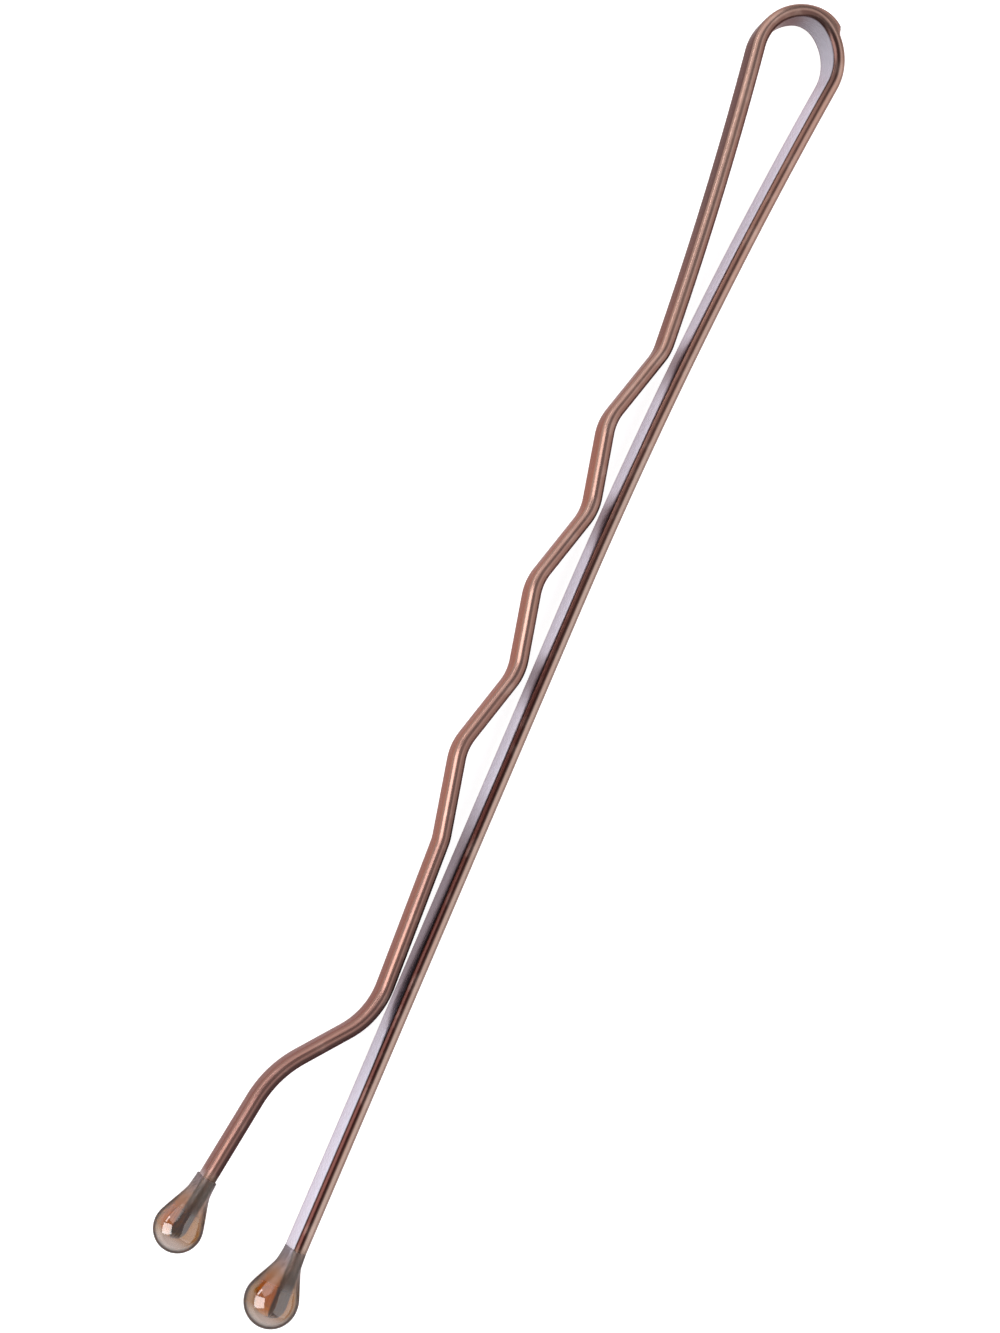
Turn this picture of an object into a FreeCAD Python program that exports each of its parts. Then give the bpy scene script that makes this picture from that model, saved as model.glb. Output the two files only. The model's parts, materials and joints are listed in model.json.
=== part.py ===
"""Bobby pin: one flat spring wire bent into two legs, with a resin bead on each end.

The pin lies on its side. +X runs along the straight leg towards the bow, +Y from the straight leg
towards the crimped leg, and +Z up, along the width of the wire. The sketches are drawn with the
outside of the bow at X = 0 and the straight leg's centreline on Y = 0, and a place along the pin is
given as its distance back from the bow, so X = -back. Lengths are millimetres, angles are degrees.
"""
import FreeCAD
import Part
import Sketcher
import math
import os
import re

# Driving dimensions
SIZES = {
    # Outside of the bow to the end of the straight leg's bead
    "pin_length": 50.9,
    # Flat wire with rolled, fully round edges
    "wire_thickness": 0.5,
    "wire_width": 1.25,
    # Bow: an oval eye, measured inside the wire
    "bow_inner_width": 2.65,
    "bow_inner_reach": 1.6,
    "nose_half_angle": 30.0,
    # How far the bow's lower side hangs below the straight run, centreline to centreline
    "bow_drop": 1.2,
    # Straight leg: where the gentle curve from the bow has become a straight run
    "straight_run_start": 24.3,
    # Crimped leg: the curve from the bow arrives at the first crest with this share of its mean slope
    "arrival_slope_share": 0.69,
    "crest_lead_share": 0.5,
    # Waves, measured at the corners that the bends round off, with the gaps under their crests
    "wave_start": 14.33,
    "wave_pitch": 6.4,
    "wave_count": 3,
    "wave_height": 0.81,
    "first_crest_gap": 0.11,
    "last_crest_gap": 0.5,
    "crest_bend_radius": 1.9,
    # Lever from the last wave to the gripping crest, then the flare and the run that carries the bead
    "lever_length": 6.43,
    "grip_gap": 0.22,
    "grip_bend_radius": 2.85,
    "flare_length": 3.96,
    "flare_angle": 39.5,
    "flare_bend_radius": 3.8,
    "tip_run": 6.72,
    "tip_angle": 8.2,
    # Resin beads: a ball that tapers to a thin film round the wire
    "bead_diameter": 1.86,
    "bead_taper": 1.85,
    "bead_cover": 0.58,
    "bead_film": 0.03,
}

# Values worked out from the driving dimensions, in order
LAYOUT = {
    "half_thickness": "wire_thickness / 2",
    "flat_height": "wire_width - wire_thickness",
    # The oval eye: a nose arc that runs on into a side arc each way
    "eye_factor": "1 - sin(nose_half_angle) - cos(nose_half_angle)",
    "eye_half": "bow_inner_width / 2",
    "nose_inner": "((1 - sin(nose_half_angle)) * bow_inner_reach - cos(nose_half_angle) * eye_half)"
                  " / eye_factor",
    "side_inner": "(eye_half * (1 - cos(nose_half_angle)) - bow_inner_reach * sin(nose_half_angle))"
                  " / eye_factor",
    "nose_radius": "nose_inner + half_thickness",
    "side_radius": "side_inner + half_thickness",
    "nose_back": "wire_thickness + nose_inner",
    "widest_back": "wire_thickness + bow_inner_reach",
    "bow_half": "eye_half + half_thickness",
    "bow_axis": "bow_half - bow_drop",
    "bow_top": "bow_axis + bow_half",
    # Straight leg: an arc that touches both the bow's lower side arc and the straight run
    "flex_run": "straight_run_start - widest_back",
    "straight_radius": "flex_run ^ 2 / (2 * bow_drop) - side_radius + bow_drop / 2",
    "straight_angle": "asin(flex_run / (straight_radius + side_radius))",
    "straight_joint_back": "straight_run_start - straight_radius * sin(straight_angle)",
    "straight_joint_drop": "straight_radius * (1 - cos(straight_angle))",
    "straight_end_back": "pin_length - bead_cover",
    "straight_neck_back": "straight_end_back - bead_diameter / 2 + bead_cover - bead_taper",
    # Crimped leg: an arc that touches the bow's upper side arc and the line into the first crest
    "first_crest_height": "wire_thickness + first_crest_gap",
    "arrival_angle": "atan(arrival_slope_share * (bow_top - first_crest_height)"
                     " / (wave_start - widest_back))",
    "crest_lead": "crest_bend_radius * crest_lead_share",
    "lead_back": "wave_start - crest_lead * cos(arrival_angle)",
    "lead_height": "first_crest_height + crest_lead * sin(arrival_angle)",
    "lead_across": "lead_back - widest_back",
    "lead_up": "lead_height - bow_top + side_radius",
    "crimped_radius": "(lead_across ^ 2 + lead_up ^ 2 - side_radius ^ 2) / 2"
                      " / (side_radius - lead_across * sin(arrival_angle) - lead_up * cos(arrival_angle))",
    "crimped_angle": "asin((lead_across + crimped_radius * sin(arrival_angle))"
                     " / (crimped_radius + side_radius))",
    "crimped_joint_back": "widest_back + side_radius * sin(crimped_angle)",
    "crimped_joint_height": "bow_top - side_radius * (1 - cos(crimped_angle))",
    # Corners of the crimped leg after its waves
    "half_wave": "wave_pitch / 2",
    "crest_climb": "(last_crest_gap - first_crest_gap) / wave_count / 2",
    "grip_back": "wave_start + wave_count * wave_pitch + lever_length",
    "grip_height": "wire_thickness + grip_gap",
    "flare_back": "grip_back + flare_length * cos(flare_angle)",
    "flare_height": "grip_height + flare_length * sin(flare_angle)",
    "crimped_end_back": "flare_back + (tip_run - bead_cover) * cos(tip_angle)",
    "crimped_end_height": "flare_height + (tip_run - bead_cover) * sin(tip_angle)",
    # Beads, drawn from the end of the wire inside them
    "bead_radius": "bead_diameter / 2",
    "ball_back": "bead_radius - bead_cover",
    "neck_back": "ball_back + bead_taper",
    "neck_half": "half_thickness + bead_film",
    "cone_angle": "atan(neck_half / bead_taper)"
                  " + acos(bead_radius / sqrt(bead_taper ^ 2 + neck_half ^ 2))",
    "cone_back": "ball_back + bead_radius * cos(cone_angle)",
    "cone_radius": "bead_radius * sin(cone_angle)",
}

ORIGIN = (-1, 1)
X_AXIS = -1
START = 1
END = 2
CENTRE = 3
Z_UP = FreeCAD.Vector(0, 0, 1)
SOCKET_TOLERANCE_SHARE = 0.001

doc = FreeCAD.newDocument("bobby_pin")


def bound(formula):
    """Turns a formula of bare names into one that points at the sheet and the layout."""
    names = {name: f"Sizes.{name}" for name in SIZES}
    names.update({name: f"Layout.{name}" for name in LAYOUT})
    return re.sub(r"[a-z_]+", lambda word: names.get(word.group(), word.group()), formula)


def make_sheet():
    """Puts the driving dimensions into a spreadsheet, one named cell each."""
    sheet = doc.addObject("Spreadsheet::Sheet", "Sizes")
    for row, (name, value) in enumerate(SIZES.items(), start=1):
        sheet.set(f"A{row}", name)
        sheet.set(f"B{row}", str(value))
        sheet.setAlias(f"B{row}", name)
    doc.recompute()


def make_layout():
    """Holds the worked-out values as properties that follow the sheet."""
    layout = doc.addObject("App::VarSet", "Layout")
    for name, formula in LAYOUT.items():
        layout.addProperty("App::PropertyFloat", name, "Layout")
        layout.setExpression(name, bound(formula))
    doc.recompute()
    return layout


make_sheet()
layout = make_layout()


def plane(body, role):
    """Finds one of the body's own origin planes."""
    return next(item for item in body.Origin.OriginFeatures if item.Role == role)


def new_sketch(body, name, role):
    """Adds an empty sketch on one of the body's origin planes."""
    sketch = body.newObject("Sketcher::SketchObject", name)
    sketch.AttachmentSupport = [(plane(body, role), "")]
    sketch.MapMode = "FlatFace"
    return sketch


def drive(sketch, kind, elements, formula, value):
    """Adds a dimension to a sketch and binds it to a formula."""
    index = sketch.addConstraint(Sketcher.Constraint(kind, *elements, value))
    sketch.setExpression(f"Constraints[{index}]", bound(formula))


def fix(sketch, kind, *elements):
    """Adds a geometric constraint to a sketch."""
    sketch.addConstraint(Sketcher.Constraint(kind, *elements))


def place_back(sketch, element, position, formula, value):
    """Sets how far back from the bow a point of the sketch lies."""
    drive(sketch, "DistanceX", (element, position, *ORIGIN), formula, value)


def place_height(sketch, element, position, formula, value):
    """Sets the height of a point of the sketch above the straight leg's centreline."""
    drive(sketch, "DistanceY", (*ORIGIN, element, position), formula, value)


def at(back, height):
    """Point of the pin's plane, by its distance back from the bow and its height."""
    return FreeCAD.Vector(-back, height, 0)


def add_line(sketch, start, end):
    """Adds a line and returns its element and the positions of its two ends along the path."""
    return sketch.addGeometry(Part.LineSegment(start, end)), START, END


def add_arc(sketch, centre, start, end, left_turn):
    """Adds an arc and returns its element and the positions of its two ends along the path."""
    first, last = (start, end) if left_turn else (end, start)
    circle = Part.Circle(centre, Z_UP, (start - centre).Length)
    arc = Part.ArcOfCircle(circle, circle.parameter(first), circle.parameter(last))
    positions = (START, END) if left_turn else (END, START)
    return (sketch.addGeometry(arc), *positions)


def join(sketch, before, after):
    """Makes two elements of a path meet end to start without a corner."""
    fix(sketch, "Tangent", before[0], before[2], after[0], after[1])


def draw_stadium(sketch, half_name, flat_name):
    """Draws the wire's section: two flat sides and two round edges, centred on the sketch."""
    half = getattr(layout, half_name)
    flat = getattr(layout, flat_name) / 2
    corner = FreeCAD.Vector(half, flat, 0)
    across = FreeCAD.Vector(-half, flat, 0)
    top = FreeCAD.Vector(0, flat, 0)
    right = add_line(sketch, -across, corner)
    upper = add_arc(sketch, top, corner, across, True)
    left = add_line(sketch, across, -corner)
    lower = add_arc(sketch, -top, -corner, -across, True)
    outline = (right, upper, left, lower)
    for before, after in zip(outline, outline[1:] + outline[:1]):
        join(sketch, before, after)
    fix(sketch, "Vertical", right[0])
    fix(sketch, "Equal", upper[0], lower[0])
    fix(sketch, "Symmetric", upper[0], CENTRE, lower[0], CENTRE, *ORIGIN)
    drive(sketch, "Radius", (upper[0],), half_name, half)
    drive(sketch, "DistanceY", (lower[0], CENTRE, upper[0], CENTRE), flat_name, 2 * flat)


def section_at(body, name, back, height, turn):
    """Adds a sketch that stands square to the path where the path starts.

    The formulas give its distance back from the bow, its height, and its turn towards the straight leg,
    which takes the place of the quarter turn that sets the axis.
    """
    sketch = new_sketch(body, name, "YZ_Plane")
    quarter_turn = FreeCAD.Rotation(FreeCAD.Vector(0, -1, 0), 90)
    sketch.AttachmentOffset = FreeCAD.Placement(FreeCAD.Vector(), quarter_turn)
    sketch.setExpression("AttachmentOffset.Base.x", bound(height))
    sketch.setExpression("AttachmentOffset.Base.z", bound(f"-({back})"))
    sketch.setExpression("AttachmentOffset.Rotation.Angle", bound(turn))
    return sketch


def sweep_wire(body, path, back, height, turn):
    """Carries the wire's section along a path sketch."""
    section = section_at(body, f"{body.Name}_section", back, height, turn)
    draw_stadium(section, "half_thickness", "flat_height")
    pipe = body.newObject("PartDesign::AdditivePipe", f"{body.Name}_wire")
    pipe.Profile = section
    pipe.Spine = path
    pipe.Refine = False


def make_straight_leg():
    """Straight leg: its end inside the bead, a straight open run, then a gentle curve to the bow."""
    body = doc.addObject("PartDesign::Body", "straight_leg")
    path = new_sketch(body, "straight_leg_path", "XY_Plane")
    neck = at(layout.straight_neck_back, 0)
    run_end = at(SIZES["straight_run_start"], 0)
    joint = at(layout.straight_joint_back, -layout.straight_joint_drop)
    centre = run_end - FreeCAD.Vector(0, layout.straight_radius, 0)
    seat = add_line(path, at(layout.straight_end_back, 0), neck)
    run = add_line(path, neck, run_end)
    curve = add_arc(path, centre, run_end, joint, False)
    fix(path, "Horizontal", seat[0])
    fix(path, "PointOnObject", seat[0], START, X_AXIS)
    join(path, seat, run)
    join(path, run, curve)
    place_back(path, seat[0], START, "straight_end_back", layout.straight_end_back)
    place_back(path, run[0], START, "straight_neck_back", layout.straight_neck_back)
    place_back(path, run[0], END, "straight_run_start", SIZES["straight_run_start"])
    drive(path, "Radius", (curve[0],), "straight_radius", layout.straight_radius)
    place_back(path, curve[0], curve[2], "straight_joint_back", layout.straight_joint_back)
    sweep_wire(body, path, "straight_end_back", "0", "0")
    return body


def make_spring_bow():
    """Spring bow: the nose arc of the oval eye between its two side arcs."""
    body = doc.addObject("PartDesign::Body", "spring_bow")
    path = new_sketch(body, "spring_bow_path", "XY_Plane")
    nose_centre = at(layout.nose_back, layout.bow_axis)
    half_angle = math.radians(SIZES["nose_half_angle"])
    spread = FreeCAD.Vector(math.cos(half_angle), math.sin(half_angle), 0) * layout.nose_radius
    upper_bend = nose_centre + spread
    lower_bend = nose_centre + FreeCAD.Vector(spread.x, -spread.y, 0)
    lower_centre = at(layout.widest_back, layout.bow_axis - layout.bow_half + layout.side_radius)
    upper_centre = at(layout.widest_back, layout.bow_top - layout.side_radius)
    lower_joint = at(layout.straight_joint_back, -layout.straight_joint_drop)
    upper_joint = at(layout.crimped_joint_back, layout.crimped_joint_height)
    lower = add_arc(path, lower_centre, lower_joint, lower_bend, True)
    nose = add_arc(path, nose_centre, lower_bend, upper_bend, True)
    upper = add_arc(path, upper_centre, upper_bend, upper_joint, True)
    join(path, lower, nose)
    join(path, nose, upper)
    place_back(path, nose[0], CENTRE, "nose_back", layout.nose_back)
    place_height(path, nose[0], CENTRE, "bow_axis", layout.bow_axis)
    drive(path, "Radius", (nose[0],), "nose_radius", layout.nose_radius)
    for side in (lower, upper):
        drive(path, "Radius", (side[0],), "side_radius", layout.side_radius)
        place_back(path, side[0], CENTRE, "widest_back", layout.widest_back)
    place_back(path, lower[0], lower[1], "straight_joint_back", layout.straight_joint_back)
    place_back(path, upper[0], upper[2], "crimped_joint_back", layout.crimped_joint_back)
    sweep_wire(body, path, "straight_joint_back", "-straight_joint_drop", "straight_angle")
    return body


def crimp_corners():
    """Corners of the crimped leg from its first crest to its flare: back, height and bend radius."""
    corners = []
    for step in range(2 * SIZES["wave_count"] + 1):
        lift = " + wave_height" if step % 2 else ""
        back = f"wave_start + {step} * half_wave"
        height = f"first_crest_height + {step} * crest_climb{lift}"
        corners.append((back, height, "crest_bend_radius"))
    corners.append(("grip_back", "grip_height", "grip_bend_radius"))
    corners.append(("flare_back", "flare_height", "flare_bend_radius"))
    return corners


def measure(formulas):
    """Works out formulas in the document and returns their values."""
    probe = doc.addObject("App::VarSet", "Probe")
    names = [f"value_{index}" for index in range(len(formulas))]
    for name, formula in zip(names, formulas):
        probe.addProperty("App::PropertyFloat", name, "Probe")
        probe.setExpression(name, bound(formula))
    doc.recompute()
    values = [getattr(probe, name) for name in names]
    doc.removeObject(probe.Name)
    return values


def bend_at(before, corner, after, radius):
    """Arc that rounds a corner: its centre, its two ends and whether it turns left."""
    arrive = (before - corner).normalize()
    leave = (after - corner).normalize()
    half_opening = arrive.getAngle(leave) / 2
    setback = radius / math.tan(half_opening)
    centre = corner + (arrive + leave).normalize() * (radius / math.sin(half_opening))
    left_turn = arrive.cross(leave).z < 0
    return centre, corner + arrive * setback, corner + leave * setback, left_turn


def make_crimped_leg():
    """Crimped leg: a run out of its bead, the flare, the gripping crest, the waves and a curve to the bow."""
    body = doc.addObject("PartDesign::Body", "crimped_leg")
    path = new_sketch(body, "crimped_leg_path", "XY_Plane")
    corners = crimp_corners()[::-1]
    backs = measure([corner[0] for corner in corners])
    heights = measure([corner[1] for corner in corners])
    tip = at(layout.crimped_end_back, layout.crimped_end_height)
    lead = at(layout.lead_back, layout.lead_height)
    stops = [tip, *map(at, backs, heights), lead]
    begin = tip
    before = None
    for index, (back, height, radius) in enumerate(corners):
        corner = stops[index + 1]
        bend_radius = SIZES[radius]
        centre, bend_start, bend_end, left_turn = bend_at(stops[index], corner, stops[index + 2], bend_radius)
        run = add_line(path, begin, bend_start)
        bend = add_arc(path, centre, bend_start, bend_end, left_turn)
        mark = path.addGeometry(Part.Point(corner), True)
        place_back(path, mark, START, back, backs[index])
        place_height(path, mark, START, height, heights[index])
        fix(path, "PointOnObject", mark, START, run[0])
        drive(path, "Radius", (bend[0],), radius, bend_radius)
        join(path, run, bend)
        if before:
            join(path, before[1], run)
            fix(path, "PointOnObject", before[0], START, run[0])
        else:
            place_back(path, run[0], START, "crimped_end_back", layout.crimped_end_back)
            place_height(path, run[0], START, "crimped_end_height", layout.crimped_end_height)
        before = (mark, bend)
        begin = bend_end
    run = add_line(path, begin, lead)
    join(path, before[1], run)
    fix(path, "PointOnObject", before[0], START, run[0])
    place_back(path, run[0], END, "lead_back", layout.lead_back)
    place_height(path, run[0], END, "lead_height", layout.lead_height)
    arrival = math.radians(layout.arrival_angle)
    centre = lead + FreeCAD.Vector(-math.sin(arrival), math.cos(arrival), 0) * layout.crimped_radius
    joint = at(layout.crimped_joint_back, layout.crimped_joint_height)
    curve = add_arc(path, centre, lead, joint, True)
    join(path, run, curve)
    drive(path, "Radius", (curve[0],), "crimped_radius", layout.crimped_radius)
    place_back(path, curve[0], curve[2], "crimped_joint_back", layout.crimped_joint_back)
    sweep_wire(body, path, "crimped_end_back", "crimped_end_height", "tip_angle")
    return body


def make_bead(name):
    """Resin bead: a ball and a taper round the last of the wire, drawn from the wire's end along +X."""
    body = doc.addObject("PartDesign::Body", name)
    profile = new_sketch(body, f"{name}_ball_profile", "XY_Plane")
    centre = FreeCAD.Vector(layout.ball_back, 0, 0)
    rim = FreeCAD.Vector(layout.cone_back, layout.cone_radius, 0)
    foot = FreeCAD.Vector(layout.cone_back, 0, 0)
    end = FreeCAD.Vector(-SIZES["bead_cover"], 0, 0)
    dome = add_arc(profile, centre, rim, end, True)
    axis = add_line(profile, end, foot)
    rise = add_line(profile, foot, rim)
    outline = (dome, axis, rise)
    for before, after in zip(outline, outline[1:] + outline[:1]):
        fix(profile, "Coincident", before[0], before[2], after[0], after[1])
    fix(profile, "PointOnObject", dome[0], CENTRE, X_AXIS)
    fix(profile, "PointOnObject", axis[0], START, X_AXIS)
    fix(profile, "PointOnObject", axis[0], END, X_AXIS)
    fix(profile, "Vertical", rise[0])
    drive(profile, "Radius", (dome[0],), "bead_radius", layout.bead_radius)
    drive(profile, "DistanceX", (axis[0], START, *ORIGIN), "bead_cover", SIZES["bead_cover"])
    drive(profile, "DistanceX", (*ORIGIN, axis[0], END), "cone_back", layout.cone_back)
    ball = body.newObject("PartDesign::Revolution", f"{name}_ball")
    ball.Profile = profile
    ball.ReferenceAxis = (profile, ["H_Axis"])

    rim_sketch = section_at(body, f"{name}_rim", "-cone_back", "0", "0")
    circle = rim_sketch.addGeometry(Part.Circle(FreeCAD.Vector(), Z_UP, layout.cone_radius))
    fix(rim_sketch, "Coincident", circle, CENTRE, *ORIGIN)
    drive(rim_sketch, "Radius", (circle,), "cone_radius", layout.cone_radius)
    neck_sketch = section_at(body, f"{name}_neck", "-neck_back", "0", "0")
    draw_stadium(neck_sketch, "neck_half", "flat_height")
    taper = body.newObject("PartDesign::AdditiveLoft", f"{name}_taper")
    taper.Profile = rim_sketch
    taper.Sections = [neck_sketch]
    taper.Ruled = True

    socket_sketch = section_at(body, f"{name}_socket_outline", "0", "0", "0")
    draw_stadium(socket_sketch, "half_thickness", "flat_height")
    socket = body.newObject("PartDesign::Pocket", f"{name}_socket")
    socket.Profile = socket_sketch
    socket.setExpression("Length", bound("neck_back"))
    socket.Reversed = True
    return body


def place_pieces(bodies):
    """Seats the beads on the wire's ends and centres the pin on the ground under it."""
    straight_end = at(layout.straight_end_back, 0)
    crimped_end = at(layout.crimped_end_back, layout.crimped_end_height)
    turn = FreeCAD.Rotation(Z_UP, -SIZES["tip_angle"])
    bodies["straight_leg_tip"].Placement = FreeCAD.Placement(straight_end, FreeCAD.Rotation())
    bodies["crimped_leg_tip"].Placement = FreeCAD.Placement(crimped_end, turn)
    doc.recompute()
    box = FreeCAD.BoundBox()
    for body in bodies.values():
        box.add(body.Shape.optimalBoundingBox(False))
    ground = FreeCAD.Vector(-box.Center.x, -box.Center.y, -box.ZMin)
    for body in bodies.values():
        body.Placement = FreeCAD.Placement(body.Placement.Base + ground, body.Placement.Rotation)
    doc.recompute()
    return ground


def check_pieces(bodies):
    """Stops if a feature failed or a piece is not one sound solid."""
    for item in doc.Objects:
        if "Invalid" in item.State or "Error" in item.State:
            raise RuntimeError(f"{item.Name} failed: {item.State}")
    for name, body in bodies.items():
        shape = body.Shape
        if shape.isNull() or not shape.isValid() or len(shape.Solids) != 1:
            raise RuntimeError(f"{name} is not one valid solid")


def check_sockets(bodies):
    """Stops if a bead's socket did not take the wire's volume out of it."""
    for name in ("straight_leg_tip", "crimped_leg_tip"):
        outline = doc.getObject(f"{name}_socket_outline").Shape
        wire_volume = Part.Face(outline.Wires[0]).Area * layout.neck_back
        whole = doc.getObject(f"{name}_taper").Shape.Volume
        removed = whole - bodies[name].Shape.Volume
        if abs(removed - wire_volume) > whole * SOCKET_TOLERANCE_SHARE:
            raise RuntimeError(f"{name} has no true socket")


pieces = {
    "straight_leg": make_straight_leg(),
    "spring_bow": make_spring_bow(),
    "crimped_leg": make_crimped_leg(),
    "straight_leg_tip": make_bead("straight_leg_tip"),
    "crimped_leg_tip": make_bead("crimped_leg_tip"),
}
for label, piece in pieces.items():
    piece.Label = label
doc.recompute()
ground_shift = place_pieces(pieces)
check_pieces(pieces)
check_sockets(pieces)

os.makedirs("parts", exist_ok=True)
for label, piece in pieces.items():
    piece.Shape.exportStep(f"parts/{label}.step")
    print(label, "volume", round(piece.Shape.Volume, 3), piece.Shape.optimalBoundingBox(False))
bow_centre = at(layout.nose_back, layout.bow_axis) + ground_shift
print("bow centre", bow_centre)
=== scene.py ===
"""Looks of a bobby pin: brown lacquered flat spring wire with a clear amber bead on each end.

The pin lies on its side on a white table, in the frame of its solid model: +X along the straight
leg towards the bow, +Y from the straight leg towards the crimped leg, +Z up, along the width of the
wire. A place along the pin is given as its distance back from the outside of the bow, and a height
is measured from the centreline of the straight run. Lengths are metres and angles are radians,
unless a name says degrees.
"""

import json
import logging
import math
from dataclasses import dataclass
from enum import Enum
from functools import cached_property
from itertools import chain
from typing import ClassVar

import bpy
import numpy as np
from mathutils import Matrix, Vector


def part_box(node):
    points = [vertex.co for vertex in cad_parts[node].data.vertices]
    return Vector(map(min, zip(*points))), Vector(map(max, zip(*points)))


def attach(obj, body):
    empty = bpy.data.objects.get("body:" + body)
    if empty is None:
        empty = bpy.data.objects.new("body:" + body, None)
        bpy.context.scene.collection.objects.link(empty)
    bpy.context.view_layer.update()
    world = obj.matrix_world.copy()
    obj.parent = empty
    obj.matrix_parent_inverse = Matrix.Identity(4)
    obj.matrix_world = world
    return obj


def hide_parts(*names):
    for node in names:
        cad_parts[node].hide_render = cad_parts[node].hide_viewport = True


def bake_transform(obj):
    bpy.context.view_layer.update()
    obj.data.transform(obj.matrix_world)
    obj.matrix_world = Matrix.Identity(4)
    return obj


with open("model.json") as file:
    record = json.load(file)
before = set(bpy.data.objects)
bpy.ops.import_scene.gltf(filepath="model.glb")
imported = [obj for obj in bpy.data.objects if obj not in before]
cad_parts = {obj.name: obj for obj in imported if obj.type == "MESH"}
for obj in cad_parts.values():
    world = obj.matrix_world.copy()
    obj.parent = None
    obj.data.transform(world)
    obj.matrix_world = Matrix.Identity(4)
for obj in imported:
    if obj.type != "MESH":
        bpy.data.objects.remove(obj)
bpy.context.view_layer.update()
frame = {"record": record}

LOG = logging.getLogger("bobby_pin")
MM = 0.001

Place = tuple[float, float, float]
Colour = tuple[float, float, float]
Limits = tuple[float, float]
ColourStops = tuple[tuple[float, Colour], ...]
LevelStops = tuple[tuple[float, float], ...]

# Most values of a noise lie between these
NOISE_LIMITS: Limits = (0.3, 0.7)


class Body(Enum):
    """The two bodies of the pin, which turn against each other at the bow."""

    FIXED = "fixed_leg"
    MOVING = "moving_leg"


class Slot(Enum):
    """The finishes that the record names."""

    WIRE = "lacquered_wire"
    RESIN = "clear_resin"


class Mark(Enum):
    """What the meshes tell the finishes about each point."""

    WIRE_SPACE = "wire_space"
    INWARD = "inward_share"
    RIM = "rim_share"
    ALONG = "along_share"
    BEAD_SPACE = "bead_space"
    BALL = "ball_share"


def smooth_share(share: np.ndarray) -> np.ndarray:
    """An even share from 0 to 1 eased at both ends: 3 times its square less 2 times its cube."""
    held = np.clip(share, 0.0, 1.0)
    return held * held * (3.0 - 2.0 * held)


def chord(length: np.ndarray, turn: np.ndarray, heading: np.ndarray) -> np.ndarray:
    """Steps across steady bends.

    A bend that turns by an angle over its length ends at a distance of the length times the sine of
    half that angle over half that angle, in the direction half way through the turn.

    Args:
        length: how far along each bend.
        turn: the angle turned on the way, left positive.
        heading: the direction at the start of each bend.

    Returns:
        The X and Y of each step.
    """
    reach = length * np.sinc(turn / math.tau)
    half_way = heading + turn / 2
    return np.stack((reach * np.cos(half_way), reach * np.sin(half_way)), axis=-1)


def leftward(heading: np.ndarray) -> np.ndarray:
    """The X and Y of the unit vectors to the left of some directions."""
    return np.stack((-np.sin(heading), np.cos(heading)), axis=-1)


@dataclass(frozen=True)
class Centreline:
    """A line of straight runs and arcs in the plane that the wire is bent in.

    Attributes:
        start: X and Y of its first point.
        heading: its first direction, from +X towards +Y.
        lengths: the length of each stretch.
        turns: the angle that each stretch turns through, left positive.
        before: the length of wire that comes before it.
    """

    start: np.ndarray
    heading: float
    lengths: np.ndarray
    turns: np.ndarray
    before: float = 0.0

    @cached_property
    def stations(self) -> np.ndarray:
        """Distance along the line to the start of each stretch, and to the line's end."""
        return np.concatenate(([0.0], np.cumsum(self.lengths)))

    @cached_property
    def headings(self) -> np.ndarray:
        """Direction at the start of each stretch, and at the line's end."""
        return self.heading + np.concatenate(([0.0], np.cumsum(self.turns)))

    @cached_property
    def corners(self) -> np.ndarray:
        """First point of each stretch, and the line's last point."""
        steps = chord(self.lengths, self.turns, self.headings[:-1])
        return self.start + np.concatenate((np.zeros((1, 2)), np.cumsum(steps, axis=0)))

    def at(self, station: np.ndarray) -> tuple[np.ndarray, np.ndarray]:
        """Points and directions along the line, each found from the start of its own stretch.

        Args:
            station: distances along the line.

        Returns:
            The points, as X and Y, and the directions there.
        """
        found = np.searchsorted(self.stations, station, side="right") - 1
        stretch = np.clip(found, 0, len(self.lengths) - 1)
        along = station - self.stations[stretch]
        turned = self.turns[stretch] * along / self.lengths[stretch]
        heading = self.headings[stretch]
        return self.corners[stretch] + chord(along, turned, heading), heading + turned

    def samples(self, longest: float, sharpest: float) -> np.ndarray:
        """Distances along the line, evenly spaced on each stretch and closer where it bends.

        Args:
            longest: the longest step.
            sharpest: the largest turn in one step.

        Returns:
            The distances, with the ends of every stretch among them.
        """
        finest = np.maximum(self.lengths / longest, np.abs(self.turns) / sharpest)
        steps = np.ceil(finest).astype(int)
        spans = zip(self.stations[:-1], self.stations[1:], steps)
        runs = [np.linspace(first, last, count, endpoint=False) for first, last, count in spans]
        return np.concatenate((*runs, self.stations[-1:]))

    def onward(self, lengths: np.ndarray, turns: np.ndarray) -> "Centreline":
        """The line that goes on from this one's end."""
        before = self.before + self.stations[-1]
        return Centreline(self.corners[-1], self.headings[-1], lengths, turns, before)


def rounded_runs(corners: np.ndarray, bends: np.ndarray) -> tuple[np.ndarray, np.ndarray]:
    """Lengths and turns of a line of runs whose corners are rounded off by arcs.

    An arc takes its radius times the tangent of half its turn off the two runs that it joins.

    Args:
        corners: the line's first point, its corners and its last point.
        bends: the radius of the arc at each corner.

    Returns:
        The length and the turn of each run and arc, in order.
    """
    steps = np.diff(corners, axis=0)
    turns = np.diff(np.unwrap(np.arctan2(steps[:, 1], steps[:, 0])))
    trims = bends * np.tan(np.abs(turns) / 2)
    runs = np.hypot(steps[:, 0], steps[:, 1])
    runs[:-1] -= trims
    runs[1:] -= trims
    lengths = np.empty(len(runs) + len(bends))
    lengths[0::2] = runs
    lengths[1::2] = bends * np.abs(turns)
    all_turns = np.zeros_like(lengths)
    all_turns[1::2] = turns
    return lengths, all_turns


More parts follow.
